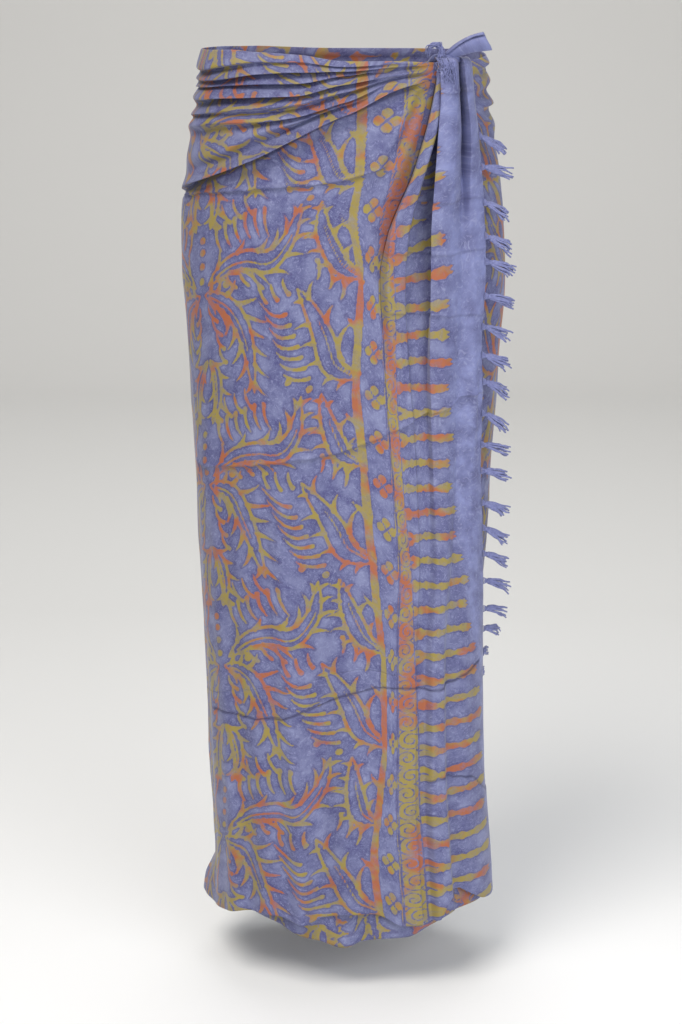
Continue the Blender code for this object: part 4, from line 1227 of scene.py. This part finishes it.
def joined(parts):
    """Several meshes as one list of vertices and faces, in metres."""
    vertices = []
    faces = []
    start = 0
    for part_vertices, part_faces in parts:
        vertices.append(part_vertices)
        faces += [[i + start for i in face] for face in part_faces]
        start += len(part_vertices)
    return np.vstack(vertices) * MM, faces


def smooth_path(points, count):
    points = np.asarray(points, float)
    return through(np.linspace(0, len(points) - 1, count), np.arange(len(points)), points)


TAIL_ROWS = 45
TAIL_COLUMNS = 93
TAIL_ROLL = (150, 640)      # degrees, from the roll's outer edge to its inner one
TAIL_TIGHTENING = 0.36      # how much smaller the roll is at its inner edge
TAIL_SLANT = 3.0            # millimetres by which its end is cut on the slant


def dress_tail():
    """The corner of the cloth rolled into an open tube that points up and to the right."""
    centre = smooth_path(TAIL_PATH, TAIL_ROWS)
    way, side, up = frame_along(centre)
    angle = np.linspace(*np.radians(TAIL_ROLL), TAIL_COLUMNS)
    shrink = 1 - TAIL_TIGHTENING * (angle - angle[0]) / (angle[-1] - angle[0])
    pull = 1 + 0.09 * np.sin(angle * 3 + 1.0) * np.linspace(0.4, 1, TAIL_ROWS)[:, None]
    reach = shrink * pull * smooth_path(TAIL_RADII, TAIL_ROWS)[:, None]
    points = swept(centre, side, up, np.cos(angle) * reach, np.sin(angle) * reach * TAIL_FLATNESS)
    slant = np.linspace(0, 1, TAIL_ROWS)[:, None] ** 4 * np.cos(angle - 0.6) * TAIL_SLANT
    points += way[:, None] * slant[..., None]
    along = run_up(points)
    plain = 0 * along
    cloth_piece("rolled_tail", points, run_across(points) * 0.3, along, plain + FAR, plain,
                ["knot_tail"])


# The roll is pulled in behind the heads of the falls, which takes it 17 mm off its solid
KNOT_TUCK = (-9.0, 13.0, -7.0)
KNOT_ROWS = 61
KNOT_SIDES = 48
KNOT_FLATNESS = 0.9
KNOT_FOLD_DEPTH = 0.1
KNOT_TWIST = 5.0                # radians from one end of the roll to the other


def dress_knot():
    """The twisted roll behind the heads of the falls."""
    centre = smooth_path(KNOT_ROLL_PATH, KNOT_ROWS) + KNOT_TUCK
    way, side, up = frame_along(centre)
    angle = np.arange(KNOT_SIDES) / KNOT_SIDES * 2 * math.pi
    twist = np.linspace(0, KNOT_TWIST, KNOT_ROWS)[:, None]
    folds = 1 + KNOT_FOLD_DEPTH * np.abs(np.sin(angle * 2 + twist))
    reach = folds * smooth_path(KNOT_ROLL_RADII, KNOT_ROWS)[:, None]
    points = swept(centre, side, up, np.cos(angle) * reach, np.sin(angle) * reach * KNOT_FLATNESS)
    faces = ring_faces(KNOT_ROWS, KNOT_SIDES)
    item = new_piece("knot_twist", points.reshape(-1, 3) * MM, faces, RAYON, ["knot_roll"])
    values = np.full(KNOT_ROWS * KNOT_SIDES, FAR, np.float32)
    item.data.attributes.new("print_gap", "FLOAT", "POINT").data.foreach_set("value", values)


def thread_path(start, way, side, out, length, fan, droop, twist, count=9):
    """A thread that leaves its knot, fans out, hangs and twists a little."""
    t = np.linspace(0, 1, count)[:, None]
    path = start + way * (t * length) + side * (fan * t ** 0.8) + DOWN * (droop * t ** 2)
    wave = np.sin(t * 7 + twist) * 0.9 * t
    return path + out * wave + side * np.cos(t * 9 + twist) * 0.9 * t


def fringe_edge(points):
    """Middle of the fringed edge, and the way the cloth runs there, against height."""
    edge = points[:, -1]
    before = points[:, -3]
    normal = outward(points)[:, -1]
    order = np.argsort(edge[:, 2])

    def look_up(height):
        here, back, out = (
            looked_up(height, edge[order, 2], rows[order]) for rows in (edge, before, normal))
        away = here - back
        return here, away / np.linalg.norm(away), out / np.linalg.norm(out)
    return look_up


def dress_tassel(number, height, lean, look_up):
    chance = np.random.default_rng(100 + number)
    edge, away, out = look_up(height)
    low = between(height, *LOW_TASSELS)
    level = away + np.array([TASSEL_SWING * (1 - low), 0, 0])
    level /= np.linalg.norm(level)
    way = level * math.cos(lean) + DOWN * math.sin(lean) + out * STRAND_LIFT
    way /= np.linalg.norm(way)
    side = np.cross(way, out)
    side /= np.linalg.norm(side)
    knot = edge + way * KNOT_REACH
    parts = []
    # Warp threads that run from the cloth's edge into the tied knot
    for k in range(WARP_THREADS):
        spread = (k - (WARP_THREADS - 1) / 2) * WARP_SPACING
        root = edge - away * 2.0 - DOWN * spread + out * 0.5
        middle = (root + knot) / 2 + out * 0.7 - DOWN * 0.25 * spread
        parts.append(tube(smooth_path([root, middle, knot], 6), np.full(6, WARP_RADIUS), 5))
    # The knot: a thread wound round the bundle
    t = np.linspace(0, 1, COIL_POINTS)
    wind = t * 2 * math.pi * COIL_TURNS
    coil = (
        knot + way * (t[:, None] * 3.6 - 1.2)
        + side * (np.cos(wind) * 1.9)[:, None] + out * (np.sin(wind) * 1.5)[:, None]
    )
    parts.append(tube(coil, np.full(COIL_POINTS, COIL_RADIUS), 6))
    start = knot + way * 1.6
    for k in range(THREADS):
        angle = k / THREADS * 2 * math.pi + chance.uniform(-0.2, 0.2)
        ring = side * math.cos(angle) * 2.4 + out * math.sin(angle) * 1.8
        fan = math.cos(angle) * chance.uniform(1.5, 4.5)
        length = STRAND_LENGTH * chance.uniform(0.72, 1.05) * (1 - 0.3 * low)
        droop = chance.uniform(2, 6)
        path = thread_path(start + ring, way, side, out, length, fan, droop, chance.uniform(0, 6))
        thick = chance.uniform(1.15, 1.5) * np.linspace(1, 0.75, len(path))
        parts.append(tube(path, thick, 5))
    vertices, faces = joined(parts)
    name = f"tassel_{number:02d}"
    new_piece(f"fringe_{name}", vertices, faces, THREAD, [name])


def dress_fringe(points):
    look_up = fringe_edge(points)
    chance = np.random.default_rng(7)
    evenly = np.linspace(TASSEL_FIRST_HEIGHT, TASSEL_LAST_HEIGHT, TASSEL_COUNT)
    for number, height in enumerate(evenly, start=1):
        off = chance.uniform(-TASSEL_UNEVENNESS, TASSEL_UNEVENNESS)
        lean = math.radians(chance.uniform(*HEAD_LEAN))
        dress_tassel(number, height + off, lean, look_up)


LOOP_THREADS = 38
LOOP_POINTS = 26
LOOP_SHIFT = (1.5, 0, -2)
LOOP_SPREAD = (1.8, 1.2, 2.0)
FRAYS = 46
FRAY_POINTS = 22
# The head of the left fall, across which the frayed threads lie
HEAD_CROWN_TURNS = (47.5, 49, 52.6, 55.4, 56.2)
HEAD_CROWN_LIFTS = (18, 20, 23.5, 20, 12)


def dress_wisp():
    """The frayed corner: a loop of loose threads that ends over the head of the fall."""
    chance = np.random.default_rng(31)
    parts = []
    for k in range(LOOP_THREADS):
        off = chance.uniform(-1, 1, 3) * LOOP_SPREAD + LOOP_SHIFT
        path = np.array(WISP_PATH, float) + off
        path += chance.uniform(-1, 1, path.shape) * 1.7
        fine = smooth_path(path, LOOP_POINTS)
        fine += np.sin(np.linspace(0, 9, LOOP_POINTS) + k)[:, None] * (0.5, 0.3, 0.5)
        keep = chance.integers(19, LOOP_POINTS + 1)
        parts.append(tube(fine[:keep], np.linspace(0.55, 0.3, keep), 5))
    # Threads that fray out of the corner and lie over the head below it
    for k in range(FRAYS):
        turn = chance.uniform(49.5, 56.0)
        steps = np.linspace(0, 1, FRAY_POINTS)
        drift = chance.uniform(-2.4, 2.4) * steps ** 2
        curl = chance.uniform(0.8, 2.4) * np.sin(steps * chance.uniform(5, 13) + k)
        height = 3 - chance.uniform(12, 27) * steps ** 1.15 + 0.9 * curl
        turns = turn + 0.6 * (drift + curl * steps)
        lift = np.interp(turns, HEAD_CROWN_TURNS, HEAD_CROWN_LIFTS)
        over = np.clip((height - FALL_TOP_HEIGHT) / HEAD_ROUNDING, 0, 1)
        lift = lift - HEAD_ROUNDING * (1 - np.sqrt(1 - over ** 2)) + chance.uniform(1.8, 4.2)
        parts.append(tube(place(turns, height, lift), np.linspace(0.6, 0.35, FRAY_POINTS), 4))
    vertices, faces = joined(parts)
    new_piece("frayed_corner", vertices, faces, THREAD, ["corner_wisp"])


side_across, side_heights = dress_front()
fall_points = dress_fall()
back_across, back_heights = dress_back(
    "back_skirt", "back_wrap", SIDE_SEAM_TURN, BACK_SEAM_TURN, side_across, side_heights)
right_across, right_heights = dress_back(
    "right_skirt", "right_wrap", BACK_SEAM_TURN, UNDER_SEAM_TURN, back_across, back_heights)
dress_inner(right_across)
dress_knot()
dress_tail()
dress_wisp()
dress_fringe(fall_points)


# Stage, light and camera

FLOOR_HEIGHT = -1.13
WALL_DISTANCE = 4.3
WALL_BEND = 1.0
WALL_HEIGHT = 5.0
FLOOR_REACH = 6.0           # to each side and toward the camera
WORLD_STRENGTH = 0.34
CAMERA_PLACE = (-0.0043, -2.5, 0.15)
CAMERA_TILT = 74.5          # degrees up from looking straight down
CAMERA_LENS = 75
CAMERA_SENSOR = 36


def sweep(name, material):
    """Floor that curves up into the backdrop."""
    start = WALL_DISTANCE - WALL_BEND
    angles = np.linspace(0, math.pi / 2, 25)
    profile = [(-FLOOR_REACH, 0.0)]
    profile += [(start + WALL_BEND * math.sin(a), WALL_BEND - WALL_BEND * math.cos(a)) for a in angles]
    profile.append((WALL_DISTANCE, WALL_HEIGHT))
    vertices = []
    faces = []
    for k, (y, z) in enumerate(profile):
        vertices += [(x, y, FLOOR_HEIGHT + z) for x in (-FLOOR_REACH, FLOOR_REACH)]
        if k:
            faces.append((2 * k - 2, 2 * k - 1, 2 * k + 1, 2 * k))
    mesh = bpy.data.meshes.new(name)
    mesh.from_pydata(vertices, [], faces)
    mesh.shade_smooth()
    mesh.materials.append(material)
    item = bpy.data.objects.new(name, mesh)
    bpy.context.scene.collection.objects.link(item)


sweep("studio_sweep", studio_paper("studio paper"))


def area_light(name, position, target, size, power, colour):
    data = bpy.data.lights.new(name, "AREA")
    data.energy = power
    data.size = size
    data.color = from_hex(colour)[:3]
    item = bpy.data.objects.new(name, data)
    item.location = position
    aim = Vector(target) - Vector(position)
    item.rotation_euler = aim.to_track_quat("-Z", "Y").to_euler()
    bpy.context.scene.collection.objects.link(item)


# Name, position, target, size in metres, power in watts and colour
LIGHTS = (
    ("key softbox", (-1.3, -1.9, 2.9), (0, 0, -0.4), 1.9, 127, "#fffaf4"),
    ("fill softbox", (2.2, -2.6, 0.9), (0, 0, -0.5), 2.4, 26, "#f4f6ff"),
    ("backdrop light", (0, 1.5, 2.6), (0, 4.3, -0.5), 2.4, 70, "#ffffff"),
    ("floor light", (1.1, -1.8, -0.1), (0.6, 0.4, -1.2), 1.6, 20, "#ffffff"),
)
for light in LIGHTS:
    area_light(*light)

world = bpy.data.worlds.new("studio")
world.use_nodes = True
world.node_tree.nodes["Background"].inputs["Color"].default_value = from_hex("#e8eaee")
world.node_tree.nodes["Background"].inputs["Strength"].default_value = WORLD_STRENGTH
bpy.context.scene.world = world
bpy.context.scene.view_settings.view_transform = "Standard"

camera_data = bpy.data.cameras.new("camera")
camera_data.lens = CAMERA_LENS
camera_data.sensor_width = CAMERA_SENSOR
camera = bpy.data.objects.new("camera", camera_data)
camera.location = CAMERA_PLACE
camera.rotation_euler = (math.radians(CAMERA_TILT), 0, 0)
bpy.context.scene.collection.objects.link(camera)
bpy.context.scene.camera = camera
